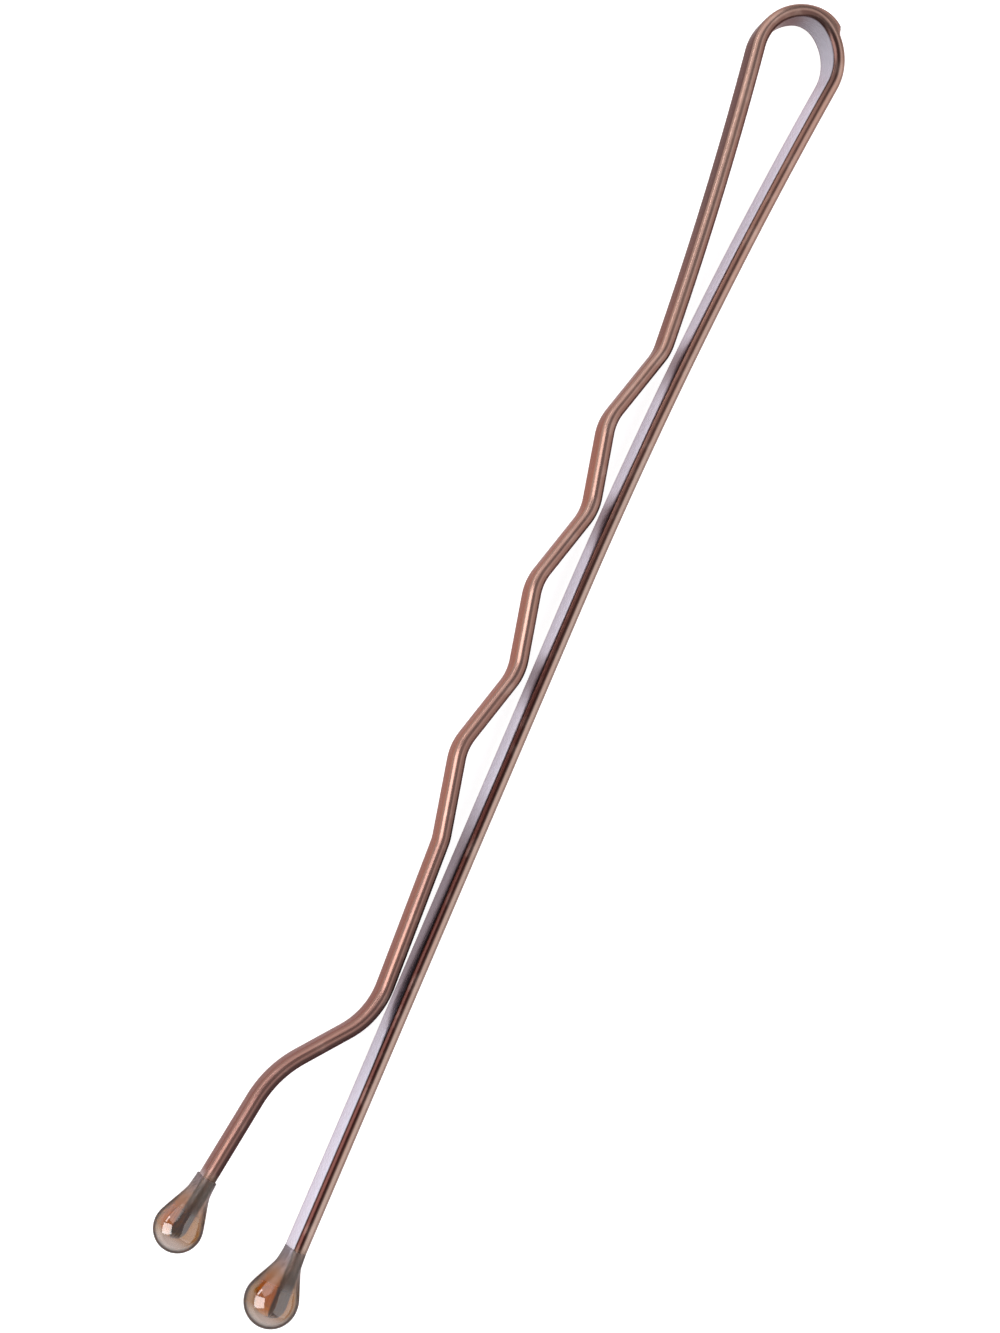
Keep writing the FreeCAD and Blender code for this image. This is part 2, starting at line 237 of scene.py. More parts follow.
@dataclass(frozen=True)
class Wire:
    """The flat wire, with rolled round edges: its section and its place, read from the frame.

    Attributes:
        bow_x: the outside of the bow.
        run_y: the centreline of the straight run.
        middle_z: the middle of the wire's width.
        end_x: the end of the wire in the straight leg's bead.
        thickness: the wire's thickness, across the plane of its bends.
        width: the wire's width, edge to edge.
        crown: how far the middle of a broad face stands proud of its edges.
        roll_degrees: how far the section leans, so that the eye narrows towards the table.
        bead_cover: resin past each of the wire's own ends.
        rim_steps: steps round each edge.
        face_steps: steps across each broad face.
    """

    bow_x: float
    run_y: float
    middle_z: float
    end_x: float
    thickness: float
    width: float
    crown: float = 0.006 * MM
    roll_degrees: float = 4.65
    bead_cover: float = 0.58 * MM
    rim_steps: int = 18
    face_steps: int = 5

    @classmethod
    def from_frame(cls) -> "Wire":
        """Reads the wire from the solid model: its outer face is a mount, the rest is in the boxes.

        Returns:
            The wire.
        """
        outer_face = next(m for m in frame["record"]["mounts"] if m["name"] == "decoration_face")
        face_y = outer_face["pos_m"][1]
        low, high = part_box("straight_leg")
        thickness = high.y - face_y
        return cls(
            bow_x=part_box("spring_bow")[1].x,
            run_y=face_y + thickness / 2,
            middle_z=outer_face["pos_m"][2],
            end_x=low.x,
            thickness=thickness,
            width=high.z - low.z,
        )

    @cached_property
    def half_flat(self) -> float:
        """Half the width of a broad face, between the round edges."""
        return (self.width - self.thickness) / 2

    @cached_property
    def outline(self) -> np.ndarray:
        """Points round the section, as the distance to the inside and the height.

        It is a circle cut in two, with its halves moved apart to the two edges and broad faces
        between them. A face is crowned by a parabola over its width.

        Returns:
            The two distances of each point.
        """
        half = self.thickness / 2
        arc = np.linspace(0.0, math.pi, self.rim_steps + 1)
        edge = np.stack((half * np.cos(arc), self.half_flat + half * np.sin(arc)), axis=-1)
        share = np.linspace(1.0, -1.0, self.face_steps + 1)[1:-1]
        bulge = half + self.crown * (1.0 - share * share)
        face = np.stack((-bulge, self.half_flat * share), axis=-1)
        upper = np.concatenate((edge, face))
        return np.concatenate((upper, -upper))


def closed_mesh(name: str, grid: np.ndarray, pole: np.ndarray | None = None) -> bpy.types.Mesh:
    """A mesh of rings joined into a tube, with flat caps on its ends, or a pole on its first.

    Args:
        name: the mesh's name.
        grid: the points, ring by ring, each ring going left to up as seen from the last one.
        pole: the point that closes the first ring, in place of a cap.

    Returns:
        The mesh, smooth but for its caps.
    """
    rings, points = grid.shape[:2]
    index = np.arange(rings * points).reshape(rings, points)
    beside = np.roll(index, -1, axis=1)
    sides = np.stack((index[:-1], beside[:-1], beside[1:], index[1:]), axis=-1)
    quads = sides.reshape(-1, 4).tolist()
    places = grid.reshape(-1, 3)
    caps = [index[-1].tolist()]
    if pole is None:
        caps.append(index[0, ::-1].tolist())
    else:
        tip = np.full(points, len(places))
        places = np.concatenate((places, pole[None]))
        quads += np.stack((index[0], tip, beside[0]), axis=-1).tolist()
    mesh = bpy.data.meshes.new(name)
    mesh.from_pydata(places, [], quads + caps)
    smooth = np.ones(len(mesh.polygons), dtype=bool)
    smooth[len(quads):] = False
    mesh.polygons.foreach_set("use_smooth", smooth)
    ends = np.empty((len(mesh.edges), 2), dtype=int)
    mesh.edges.foreach_get("vertices", ends.ravel())
    rim = np.all(ends // points == rings - 1, axis=1)
    if pole is None:
        rim |= np.all(ends < points, axis=1)
    mesh.edges.foreach_set("use_edge_sharp", rim)
    mesh.update()
    return mesh


def note(mesh: bpy.types.Mesh, mark: Mark, values: np.ndarray) -> None:
    """Writes a number or a vector for every point of a mesh.

    Args:
        mesh: the mesh.
        mark: what is noted.
        values: one number, or three, for each point.
    """
    kind, field = ("FLOAT", "value") if values.ndim == 1 else ("FLOAT_VECTOR", "vector")
    attribute = mesh.attributes.new(mark.value, kind, "POINT")
    attribute.data.foreach_set(field, values.astype(np.float32).ravel())


def place_object(data: bpy.types.ID) -> bpy.types.Object:
    """Shows a mesh, a lamp or a camera as an object at the origin, under its own name.

    Args:
        data: what is shown.

    Returns:
        The object.
    """
    shown = bpy.data.objects.new(data.name, data)
    bpy.context.scene.collection.objects.link(shown)
    return shown


@dataclass
class Piece:
    """A piece of the pin that takes the place of a solid.

    Attributes:
        name: the piece's name.
        node: the solid that it stands for.
        wire: the wire's section and place.
        slot: the finish that it takes.
    """

    name: str
    node: str
    wire: Wire
    slot: ClassVar[Slot]

    def mesh(self) -> bpy.types.Mesh:
        """The piece's mesh, with the notes that its finish reads."""
        raise NotImplementedError

    def attach(self, shown: bpy.types.Object) -> None:
        """Makes the piece move with the pin."""
        raise NotImplementedError

    def make(self, finish: bpy.types.Material) -> bpy.types.Object:
        """Builds the piece, gives it its finish and puts it in place of its solid.

        Args:
            finish: the material for its slot.

        Returns:
            The piece.
        """
        shown = place_object(self.mesh())
        shown.data.materials.append(finish)
        self.attach(shown)
        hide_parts(self.node)
        return shown


@dataclass
class WireLength(Piece):
    """One length of the wire: its section carried along its centreline.

    Attributes:
        longest_step: the longest step along it.
        sharpest_step: the largest turn in one step.
    """

    slot: ClassVar[Slot] = Slot.WIRE
    longest_step: float = 0.25 * MM
    sharpest_step: float = math.radians(2.5)

    def line(self) -> Centreline:
        """The centreline of this length."""
        raise NotImplementedError

    def whole_length(self) -> float:
        """The length of the whole wire."""
        raise NotImplementedError

    def rings(self, line: Centreline) -> np.ndarray:
        """Distances along the centreline at which the section is placed."""
        return line.samples(self.longest_step, self.sharpest_step)

    def section(self, line: Centreline, station: np.ndarray) -> tuple[np.ndarray, np.ndarray]:
        """The section at each ring, as distances to the inside and heights.

        Args:
            line: the centreline.
            station: the distance of each ring along it.

        Returns:
            The two distances, for every ring and every point of it.
        """
        inward, up = self.wire.outline.T
        shape = (len(station), len(inward))
        return np.broadcast_to(inward, shape), np.broadcast_to(up, shape)

    def mesh(self) -> bpy.types.Mesh:
        """Sweeps the section along the centreline and notes where each point lies on the wire.

        A point is the centreline's point, moved along the line's left and up by the section's two
        distances, after the section has been leaned by its roll.

        Returns:
            The mesh.
        """
        line = self.line()
        station = self.rings(line)
        centre, heading = line.at(station)
        roll = math.radians(self.wire.roll_degrees)
        inward, up = self.section(line, station)
        side = math.cos(roll) * inward - math.sin(roll) * up
        rise = math.sin(roll) * inward + math.cos(roll) * up
        flat = centre[:, None, :] + side[..., None] * leftward(heading)[:, None, :]
        height = self.wire.middle_z + rise
        swept = closed_mesh(self.name, np.concatenate((flat, height[..., None]), axis=-1))
        self.note_wire(swept, line.before + station)
        return swept

    def note_wire(self, mesh: bpy.types.Mesh, station: np.ndarray) -> None:
        """Notes each point's place on the straightened wire, and how near it is to an edge.

        Args:
            mesh: the swept mesh.
            station: the distance of each ring along the whole wire.
        """
        inward, up = self.wire.outline.T
        along, inside = np.broadcast_arrays(station[:, None], inward[None, :])
        upward = np.broadcast_to(up, along.shape)
        space = np.stack((along, inside, upward), axis=-1).reshape(-1, 3) / MM
        half = self.wire.thickness / 2
        rim = np.clip((np.abs(upward) - self.wire.half_flat) / half, 0.0, 1.0)
        note(mesh, Mark.WIRE_SPACE, space)
        note(mesh, Mark.INWARD, np.clip(inside / half, -1.0, 1.0).ravel())
        note(mesh, Mark.RIM, rim.ravel())
        note(mesh, Mark.ALONG, along.ravel() / self.whole_length())


@dataclass
class SpringBow(WireLength):
    """The sprung oval eye: a nose arc that runs on into a side arc each way.

    Attributes:
        inner_reach: from the inside of the nose to the eye's widest place.
        nose_half_angle: half the turn of the nose.
        drip_shares: where along the bow a drip of lacquer has set on its outer face.
        drip_ease_shares: how much of the bow the drip takes to rise and to fall.
        drip_height: how far it stands out.
        straight_leg: the leg that it comes from.
        crimped_leg: the leg that it runs into.
    """

    inner_reach: float = 1.6 * MM
    nose_half_angle: float = math.radians(30.0)
    drip_shares: Limits = (0.31, 0.60)
    drip_ease_shares: Limits = (0.05, 0.24)
    drip_height: float = 0.38 * MM
    straight_leg: "StraightLeg | None" = None
    crimped_leg: "CrimpedLeg | None" = None

    @cached_property
    def half_height(self) -> float:
        """Half the eye's width, to the wire's centreline."""
        low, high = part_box(self.node)
        return (high.y - low.y - self.wire.thickness) / 2

    @cached_property
    def top(self) -> float:
        """Height of the upper side's centreline."""
        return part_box(self.node)[1].y - self.wire.thickness / 2 - self.wire.run_y

    @cached_property
    def drop(self) -> float:
        """How far the lower side hangs below the straight run."""
        return 2.0 * self.half_height - self.top

    @cached_property
    def widest_back(self) -> float:
        """The eye's widest place."""
        return self.wire.thickness + self.inner_reach

    @cached_property
    def radii(self) -> tuple[float, float]:
        """Radii of the nose and of the sides, to the wire's centreline, that meet smoothly.

        Returns:
            The two radii.
        """
        sine, cosine = math.sin(self.nose_half_angle), math.cos(self.nose_half_angle)
        reach = self.inner_reach + self.wire.thickness / 2
        factor = 1.0 - sine - cosine
        nose = ((1.0 - sine) * reach - cosine * self.half_height) / factor
        side = (self.half_height * (1.0 - cosine) - reach * sine) / factor
        return nose, side

    def line(self) -> Centreline:
        """A side arc, the nose arc and a side arc, from the straight leg to the crimped leg.

        Returns:
            The centreline.
        """
        nose, side = self.radii
        quarter = math.pi / 2 - self.nose_half_angle
        lower = self.straight_leg.angle + quarter
        upper = quarter + self.crimped_leg.angle
        turns = np.array((lower, 2.0 * self.nose_half_angle, upper))
        return self.straight_leg.line().onward(turns * np.array((side, nose, side)), turns)

    def whole_length(self) -> float:
        """The length of the whole wire, up to its end on the crimped leg."""
        last = self.crimped_leg.line()
        return last.before + last.stations[-1]

    def section(self, line: Centreline, station: np.ndarray) -> tuple[np.ndarray, np.ndarray]:
        """The wire's section, with its outer face rounded out at the drip.

        The drip rises and falls along the bow by eased shares, and across the wire it is a parabola.

        Args:
            line: the centreline.
            station: the distance of each ring along it.

        Returns:
            The distances to the inside and the heights, for every ring and every point of it.
        """
        inward, up = super().section(line, station)
        share = station / line.stations[-1]
        rise, fall = self.drip_ease_shares
        first, last = self.drip_shares
        along = smooth_share((share - first) / rise) * smooth_share((last - share) / fall)
        outer = np.clip(-2.0 * inward / self.wire.thickness, 0.0, 1.0)
        round_share = 1.0 - (2.0 * up / self.wire.width) ** 2
        return inward - self.drip_height * along[:, None] * outer * round_share, up

    def join(self, straight_leg: "StraightLeg", crimped_leg: "CrimpedLeg") -> None:
        """Names the two legs that this bow joins."""
        self.straight_leg = straight_leg
        self.crimped_leg = crimped_leg

    def attach(self, shown: bpy.types.Object) -> None:
        """Bakes the bow's place into its mesh, where it stays; it is not made to ride on either leg.

        Args:
            shown: the bow.
        """
        line = self.line()
        ends, headings = line.at(line.stations[[0, -1]])
        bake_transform(shown)


@dataclass
class Leg(WireLength):
    """A leg of the pin: a length of the wire between the bow and one of the wire's own ends.

    Attributes:
        bow: the bow that it is joined to.
        end_round: length over which the wire's own end is rounded off.
        end_steps: rings on that rounding.
        end_left_share: what is left of the section at the very end.
        bead_fullness_share: the diameter of its bead's ball, as a share of the solid's.
        bead_lean: how far that ball has set to the left of the wire, looking into the leg.
        body: the body that it rides on.
        starts_wire: whether the wire starts on this leg, or ends on it.
    """

    bow: SpringBow | None = None
    end_round: float = 0.35 * MM
    end_steps: int = 10
    end_left_share: float = 0.25
    bead_fullness_share: float = 1.0
    bead_lean: float = 0.0
    body: ClassVar[Body]
    starts_wire: ClassVar[bool]

    def whole_length(self) -> float:
        """The length of the whole wire."""
        return self.bow.whole_length()

    def own_end(self, line: Centreline) -> tuple[float, np.ndarray, float]:
        """The wire's own end on this leg.

        Args:
            line: the leg's centreline.

        Returns:
            Its distance along the line, its X and Y, and the direction from it into the leg.
        """
        if self.starts_wire:
            return 0.0, line.corners[0], line.headings[0]
        return line.stations[-1], line.corners[-1], line.headings[-1] + math.pi

    def rings(self, line: Centreline) -> np.ndarray:
        """The rings along the line, with more of them on the rounded end.

        Args:
            line: the leg's centreline.

        Returns:
            Their distances along it.
        """
        end = self.own_end(line)[0]
        rounded = np.abs(end - np.linspace(0.0, self.end_round, self.end_steps))
        return np.union1d(super().rings(line), rounded)

    def section(self, line: Centreline, station: np.ndarray) -> tuple[np.ndarray, np.ndarray]:
        """The wire's section, shrunk along a quarter circle at the wire's own end.

        Args:
            line: the centreline.
            station: the distance of each ring along it.

        Returns:
            The distances to the inside and the heights, for every ring and every point of it.
        """
        inward, up = super().section(line, station)
        away = np.abs(station - self.own_end(line)[0])[:, None]
        missing = 1.0 - np.clip(away / self.end_round, 0.0, 1.0)
        left = self.end_left_share + (1.0 - self.end_left_share) * np.sqrt(1.0 - missing ** 2)
        return left * inward, left * up

    def attach(self, shown: bpy.types.Object) -> None:
        """Makes the leg ride on its body."""
        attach(shown, self.body.value)


@dataclass
class StraightLeg(Leg):
    """The straight leg: a straight run out of its bead and a gentle curve down to the bow.

    Attributes:
        run_start: where the gentle curve has become a straight run.
    """

    body: ClassVar[Body] = Body.FIXED
    starts_wire: ClassVar[bool] = True
    bead_lean: float = 0.08 * MM
    run_start: float = 24.3 * MM

    @cached_property
    def curve_run(self) -> float:
        """Length of the curve and the bow's side together, along the pin."""
        return self.run_start - self.bow.widest_back

    @cached_property
    def radius(self) -> float:
        """Radius of the curve, which touches the straight run and the bow's lower side."""
        return self.curve_run ** 2 / (2.0 * self.bow.drop) - self.bow.radii[1] + self.bow.drop / 2

    @cached_property
    def angle(self) -> float:
        """Turn of the curve."""
        return math.asin(self.curve_run / (self.radius + self.bow.radii[1]))

    def line(self) -> Centreline:
        """The straight run and the curve, from the end of the wire.

        Returns:
            The centreline.
        """
        run = self.wire.bow_x - self.run_start - self.wire.end_x
        start = np.array((self.wire.end_x, self.wire.run_y))
        lengths = np.array((run, self.radius * self.angle))
        return Centreline(start, 0.0, lengths, np.array((0.0, -self.angle)))


@dataclass
class CrimpedLeg(Leg):
    """The crimped leg: a curve from the bow, waves, a lever to the grip, a flare and the tip's run.

    Attributes:
        arrival_slope_share: slope into the first crest, as a share of the mean slope from the bow.
        crest_lead_share: straight lead into the first crest, as a share of the crest's bend.
        wave_start: the first crest's corner.
        wave_pitch: from crest to crest.
        wave_count: how many waves.
        wave_height: from the crests' corners to the troughs'.
        first_crest_gap: gap between the first crest and the straight leg.
        last_crest_gap: gap under the crest after the last wave.
        crest_bend: bend radius of the waves.
        lever_length: from the last wave to the gripping crest.
        grip_gap: gap under the gripping crest.
        grip_bend: bend radius of the gripping crest.
        flare_length: from the gripping crest to the tip's run.
        flare_angle: slope of the flare.
        flare_bend: bend radius at the flare's top.
        tip_run: from the flare to the end of the bead.
        tip_angle: slope of the tip's run.
    """

    body: ClassVar[Body] = Body.MOVING
    starts_wire: ClassVar[bool] = False
    bead_fullness_share: float = 0.9
    bead_lean: float = -0.04 * MM
    arrival_slope_share: float = 0.69
    crest_lead_share: float = 0.5
    wave_start: float = 14.33 * MM
    wave_pitch: float = 6.4 * MM
    wave_count: int = 3
    wave_height: float = 0.81 * MM
    first_crest_gap: float = 0.11 * MM
    last_crest_gap: float = 0.5 * MM
    crest_bend: float = 1.9 * MM
    lever_length: float = 6.43 * MM
    grip_gap: float = 0.22 * MM
    grip_bend: float = 2.85 * MM
    flare_length: float = 3.96 * MM
    flare_angle: float = math.radians(39.5)
    flare_bend: float = 3.8 * MM
    tip_run: float = 6.72 * MM
    tip_angle: float = math.radians(8.2)

    @cached_property
    def crest_height(self) -> float:
        """Height of the first crest's corner."""
        return self.wire.thickness + self.first_crest_gap

    @cached_property
    def arrival(self) -> float:
        """Slope into the first crest."""
        fall = (self.bow.top - self.crest_height) / (self.wave_start - self.bow.widest_back)
        return math.atan(self.arrival_slope_share * fall)

    @cached_property
    def lead(self) -> np.ndarray:
        """The place where the curve from the bow ends.

        Returns:
            Its back and height.
        """
        length = self.crest_bend * self.crest_lead_share
        back = self.wave_start - length * math.cos(self.arrival)
        return np.array((back, self.crest_height + length * math.sin(self.arrival)))

    @cached_property
    def radius(self) -> float:
        """Radius of the curve, which touches the bow's upper side and the lead into the crest.

        Returns:
            The radius, to the wire's centreline.
        """
        side = self.bow.radii[1]
        across, up = self.lead - np.array((self.bow.widest_back, self.bow.top - side))
        reach = across * math.sin(self.arrival) + up * math.cos(self.arrival)
        return (across ** 2 + up ** 2 - side ** 2) / 2 / (side - reach)

    @cached_property
    def angle(self) -> float:
        """Slope at which the leg leaves the bow.

        Returns:
            The slope.
        """
        across = self.lead[0] - self.bow.widest_back
        rise = across + self.radius * math.sin(self.arrival)
        return math.asin(rise / (self.radius + self.bow.radii[1]))

    def wave_corners(self) -> np.ndarray:
        """The waves' corners: crests that climb steadily, and their troughs.

        Returns:
            Their backs and heights.
        """
        step = np.arange(2 * self.wave_count + 1)
        climb = (self.last_crest_gap - self.first_crest_gap) / self.wave_count / 2
        heights = self.crest_height + step * climb + self.wave_height * (step % 2)
        return np.stack((self.wave_start + step * self.wave_pitch / 2, heights), axis=-1)

    def corners(self) -> np.ndarray:
        """The lead's start, every corner and the end of the wire.

        Returns:
            X and Y of each.
        """
        waves = self.wave_corners()
        grip = np.array((waves[-1, 0] + self.lever_length, self.wire.thickness + self.grip_gap))
        slope, tip_slope = self.flare_angle, self.tip_angle
        flare = grip + self.flare_length * np.array((math.cos(slope), math.sin(slope)))
        run = self.tip_run - self.wire.bead_cover
        end = flare + run * np.array((math.cos(tip_slope), math.sin(tip_slope)))
        back, height = np.vstack((self.lead, waves, grip, flare, end)).T
        return np.stack((self.wire.bow_x - back, self.wire.run_y + height), axis=-1)

    def line(self) -> Centreline:
        """The curve from the bow, then the rounded runs to the end of the wire.

        Returns:
            The centreline.
        """
        waves = np.full(2 * self.wave_count + 1, self.crest_bend)
        bends = np.concatenate((waves, (self.grip_bend, self.flare_bend)))
        lengths, turns = rounded_runs(self.corners(), bends)
        turn = self.angle - self.arrival
        curve = np.concatenate(((self.radius * turn,), lengths))
        return self.bow.line().onward(curve, np.concatenate(((-turn,), turns)))


@dataclass
class ResinBead(Piece):
    """A resin bead dipped on to the end of a leg: a ball that draws in to a film round the wire.

    Attributes:
        leg: the leg that it is on.
        taper: from the ball's middle to the neck.
        film: thickness of the film at the neck.
        meniscus_share: slope with which the resin meets the wire, as a share of a straight taper's.
        ball_steps: rings on the ball.
        neck_steps: rings on the neck.
        round_steps: points on a ring.
    """

    slot: ClassVar[Slot] = Slot.RESIN
    leg: Leg
    taper: float = 1.85 * MM
    film: float = 0.03 * MM
    meniscus_share: float = 0.35
    ball_steps: int = 40
    neck_steps: int = 36
    round_steps: int = 180

    @cached_property
    def radius(self) -> float:
        """Radius of the ball."""
        low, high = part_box(self.node)
        return self.leg.bead_fullness_share * (high.z - low.z) / 2

    def neck_radius(self, angle: np.ndarray) -> np.ndarray:
        """Distance from the wire's middle to its film, at angles from its side towards its edge.

        It is the film's flat side where that comes first, and the film's round edge beyond it.

        Args:
            angle: the angles.

        Returns:
            The distances.
        """
        half = self.wire.thickness / 2 + self.film
        flat = self.wire.half_flat
        sine, cosine = np.abs(np.sin(angle)), np.abs(np.cos(angle))
        rim = flat * sine + np.sqrt(np.maximum(half ** 2 - (flat * cosine) ** 2, 0.0))
        side = half / np.maximum(cosine, np.finfo(float).eps)
        return np.where(half * sine <= flat * cosine, side, rim)

    def mesh(self) -> bpy.types.Mesh:
        """Works out the bead ring by ring along the wire.

        On the ball, a ring's radius follows a circle. From the ring whose tangent reaches the neck,
        it eases into the film's outline by a cubic that keeps the ball's slope at its start and
        flattens along the wire at its end.

        Returns:
            The mesh.
        """
        thin = self.wire.thickness / 2 + self.film
        tangent = math.atan2(thin, self.taper) + math.acos(self.radius / math.hypot(self.taper, thin))
        rim_at, rim_radius = self.radius * math.cos(tangent), self.radius * math.sin(tangent)
        angle = np.linspace(0.0, math.tau, self.round_steps, endpoint=False)
        swing = np.linspace(0.0, math.pi - tangent, self.ball_steps + 1)[1:]
        ball_at = -self.radius * np.cos(swing)
        ball = np.broadcast_to((self.radius * np.sin(swing))[:, None], (len(swing), len(angle)))
        share = np.linspace(0.0, 1.0, self.neck_steps + 1)[1:, None]
        neck_at = rim_at + (self.taper - rim_at) * share[:, 0]
        film = self.neck_radius(angle)[None, :]
        slope = rim_at / rim_radius * (self.taper - rim_at) / (rim_radius - film)
        start = 2.0 * share ** 3 - 3.0 * share ** 2 + 1.0
        leaving = share ** 3 - 2.0 * share ** 2 + share
        arriving = share ** 3 - share ** 2
        keep = start - slope * leaving - self.meniscus_share * arriving
        neck = film + (rim_radius - film) * keep
        at = np.concatenate((ball_at, neck_at))
        return self.place_rings(at, np.concatenate((ball, neck)), angle)

    def place_rings(self, at: np.ndarray, radius: np.ndarray, angle: np.ndarray) -> bpy.types.Mesh:
        """Puts the rings on the end of the wire and notes each point's place in the bead.

        Args:
            at: the distance of each ring from the ball's middle, towards the leg.
            radius: the radius of each ring at each angle.
            angle: the angles, from the left of the wire upwards.

        Returns:
            The mesh.
        """
        leg = self.leg
        _, end, heading = leg.own_end(leg.line())
        ahead = np.array((math.cos(heading), math.sin(heading), 0.0))
        left = np.array((*leftward(heading), 0.0))
        up = np.array((0.0, 0.0, 1.0))
        middle = np.array((*end, self.wire.middle_z)) + (self.radius - self.wire.bead_cover) * ahead
        out = np.cos(angle)[:, None] * left + np.sin(angle)[:, None] * up
        set_off = leg.bead_lean * smooth_share((self.taper - at) / self.taper)
        spine = middle + at[:, None] * ahead + set_off[:, None] * left
        grid = spine[:, None, :] + radius[..., None] * out
        pole = middle - self.radius * ahead + leg.bead_lean * left
        mesh = closed_mesh(self.name, grid, pole)
        along = np.append(np.repeat(at, len(angle)), -self.radius)
        note(mesh, Mark.BALL, smooth_share((self.taper - along) / (self.taper + self.radius)))
        places = np.concatenate((grid.reshape(-1, 3), pole[None]))
        note(mesh, Mark.BEAD_SPACE, (places - middle) / MM)
        return mesh

    def attach(self, shown: bpy.types.Object) -> None:
        """Makes the bead ride on its leg's body."""
        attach(shown, self.leg.body.value)


class Board:
    """A node tree, with short calls for the nodes that the finishes use.

    Attributes:
        tree: the node tree.
        first_colour: place of the first colour among a mix node's inputs.
        second_colour: place of the second colour there.
        mixed_colour: place of the mixed colour among its outputs.
    """

    first_colour: ClassVar[int] = 6
    second_colour: ClassVar[int] = 7
    mixed_colour: ClassVar[int] = 2

    def __init__(self, tree: bpy.types.NodeTree) -> None:
        """Starts from an empty tree."""
        self.tree = tree
        tree.nodes.clear()

    @classmethod
    def of(cls, owner: bpy.types.Material | bpy.types.World) -> "Board":
        """The emptied node tree of a material or a world."""
        owner.use_nodes = True
        return cls(owner.node_tree)

    def add(self, kind: str, **inputs: object) -> bpy.types.Node:
        """A node with its inputs set to values or joined to other nodes' outputs.

        Args:
            kind: the node's type.
            inputs: values or output sockets by input name, with _ for a space.

        Returns:
            The node.
        """
        node = self.tree.nodes.new(kind)
        for name, value in inputs.items():
            self.feed(node.inputs[name.replace("_", " ")], value)
        return node

    def feed(self, socket: bpy.types.NodeSocket, value: object) -> None:
        """Joins an output to an input, or sets the input's own value.

        Args:
            socket: the input.
            value: an output socket, or a value.
        """
        if isinstance(value, bpy.types.NodeSocket):
            self.tree.links.new(value, socket)
        elif isinstance(value, tuple) and socket.type == "RGBA":
            socket.default_value = (*value, 1.0)
        else:
            socket.default_value = value

    def math(self, operation: str, first: object, second: object = 0.0) -> bpy.types.NodeSocket:
        """The result of a sum on one or two numbers.

        Args:
            operation: the sum's name.
            first: the first number.
            second: the second number, where the sum takes one.

        Returns:
            The result.
        """
        node = self.tree.nodes.new("ShaderNodeMath")
        node.operation = operation
        self.feed(node.inputs[0], first)
        self.feed(node.inputs[1], second)
        return node.outputs[0]

    def span(self, value: object, given: Limits, made: Limits = (0.0, 1.0)) -> bpy.types.NodeSocket:
        """A number brought from one range to another, held at its ends.

        Args:
            value: the number.
            given: the range that it comes from.
            made: the range that it is brought to.

        Returns:
            The number in the second range.
        """
        node = self.add("ShaderNodeMapRange", Value=value, From_Min=given[0], From_Max=given[1])
        self.feed(node.inputs["To Min"], made[0])
        self.feed(node.inputs["To Max"], made[1])
        return node.outputs["Result"]

    def ramp(self, value: object, stops: ColourStops) -> bpy.types.NodeSocket:
        """A colour that passes evenly from stop to stop.

        Args:
            value: a number from 0 to 1.
            stops: places along it and the colours there, in order.

        Returns:
            The colour.
        """
        node = self.add("ShaderNodeValToRGB", Fac=value)
        elements = node.color_ramp.elements
        for element, (place, colour) in zip(elements, (stops[0], stops[-1])):
            element.position = place
            element.color = (*colour, 1.0)
        for place, colour in stops[1:-1]:
            elements.new(place).color = (*colour, 1.0)
        return node.outputs["Color"]

    def levels(self, value: object, stops: LevelStops) -> bpy.types.NodeSocket:
        """A level that passes evenly from stop to stop."""
        return self.ramp(value, tuple((place, (level, level, level)) for place, level in stops))

    def blend(self, share: object, first: object, second: object) -> bpy.types.NodeSocket:
        """A mix of two colours.

        Args:
            share: how much there is of the second.
            first: the first colour.
            second: the second colour.

        Returns:
            The mixed colour.
        """
        node = self.tree.nodes.new("ShaderNodeMix")
        node.data_type = "RGBA"
        self.feed(node.inputs["Factor"], share)
        self.feed(node.inputs[self.first_colour], first)
        self.feed(node.inputs[self.second_colour], second)
        return node.outputs[self.mixed_colour]

    def noise(self, vector: object, scale: object, detail: float) -> bpy.types.NodeSocket:
        """Cloudy noise between 0 and 1."""
        node = self.add("ShaderNodeTexNoise", Vector=vector, Scale=scale, Detail=detail)
        return node.outputs["Fac"]

    def relief(
        self, height: object, share: float, depth: float, under: object = None
    ) -> bpy.types.NodeSocket:
        """A normal that follows a relief.

        Args:
            height: the height, from 0 to 1.
            share: how much of the relief shows.
            depth: the relief at a height of 1.
            under: the normal of a relief that it lies on, if there is one.

        Returns:
            The normal.
        """
        node = self.add("ShaderNodeBump", Height=height, Strength=share, Distance=depth)
        if under is not None:
            self.feed(node.inputs["Normal"], under)
        return node.outputs["Normal"]

    def stretch(self, vector: object, along: object) -> bpy.types.NodeSocket:
        """A vector with its first length multiplied.

        Args:
            vector: the vector.
            along: what its first length is multiplied by.

        Returns:
            The stretched vector.
        """
        parts = self.add("ShaderNodeSeparateXYZ", Vector=vector)
        long = self.math("MULTIPLY", parts.outputs["X"], along)
        joined = self.add("ShaderNodeCombineXYZ", X=long, Y=parts.outputs["Y"], Z=parts.outputs["Z"])
        return joined.outputs["Vector"]

    def marked(self, mark: Mark) -> bpy.types.Node:
        """What the mesh notes about each point.

        Args:
            mark: which of the notes.

        Returns:
            The node that reads it.
        """
        node = self.tree.nodes.new("ShaderNodeAttribute")
        node.attribute_name = mark.value
        return node

    def group(self, effect: bpy.types.NodeTree, vector: bpy.types.NodeSocket) -> bpy.types.Node:
        """A surface effect, given its vector.

        Args:
            effect: the effect's group.
            vector: the place on the surface.

        Returns:
            The group's node.
        """
        node = self.tree.nodes.new("ShaderNodeGroup")
        node.node_tree = effect
        self.feed(node.inputs["Vector"], vector)
        return node


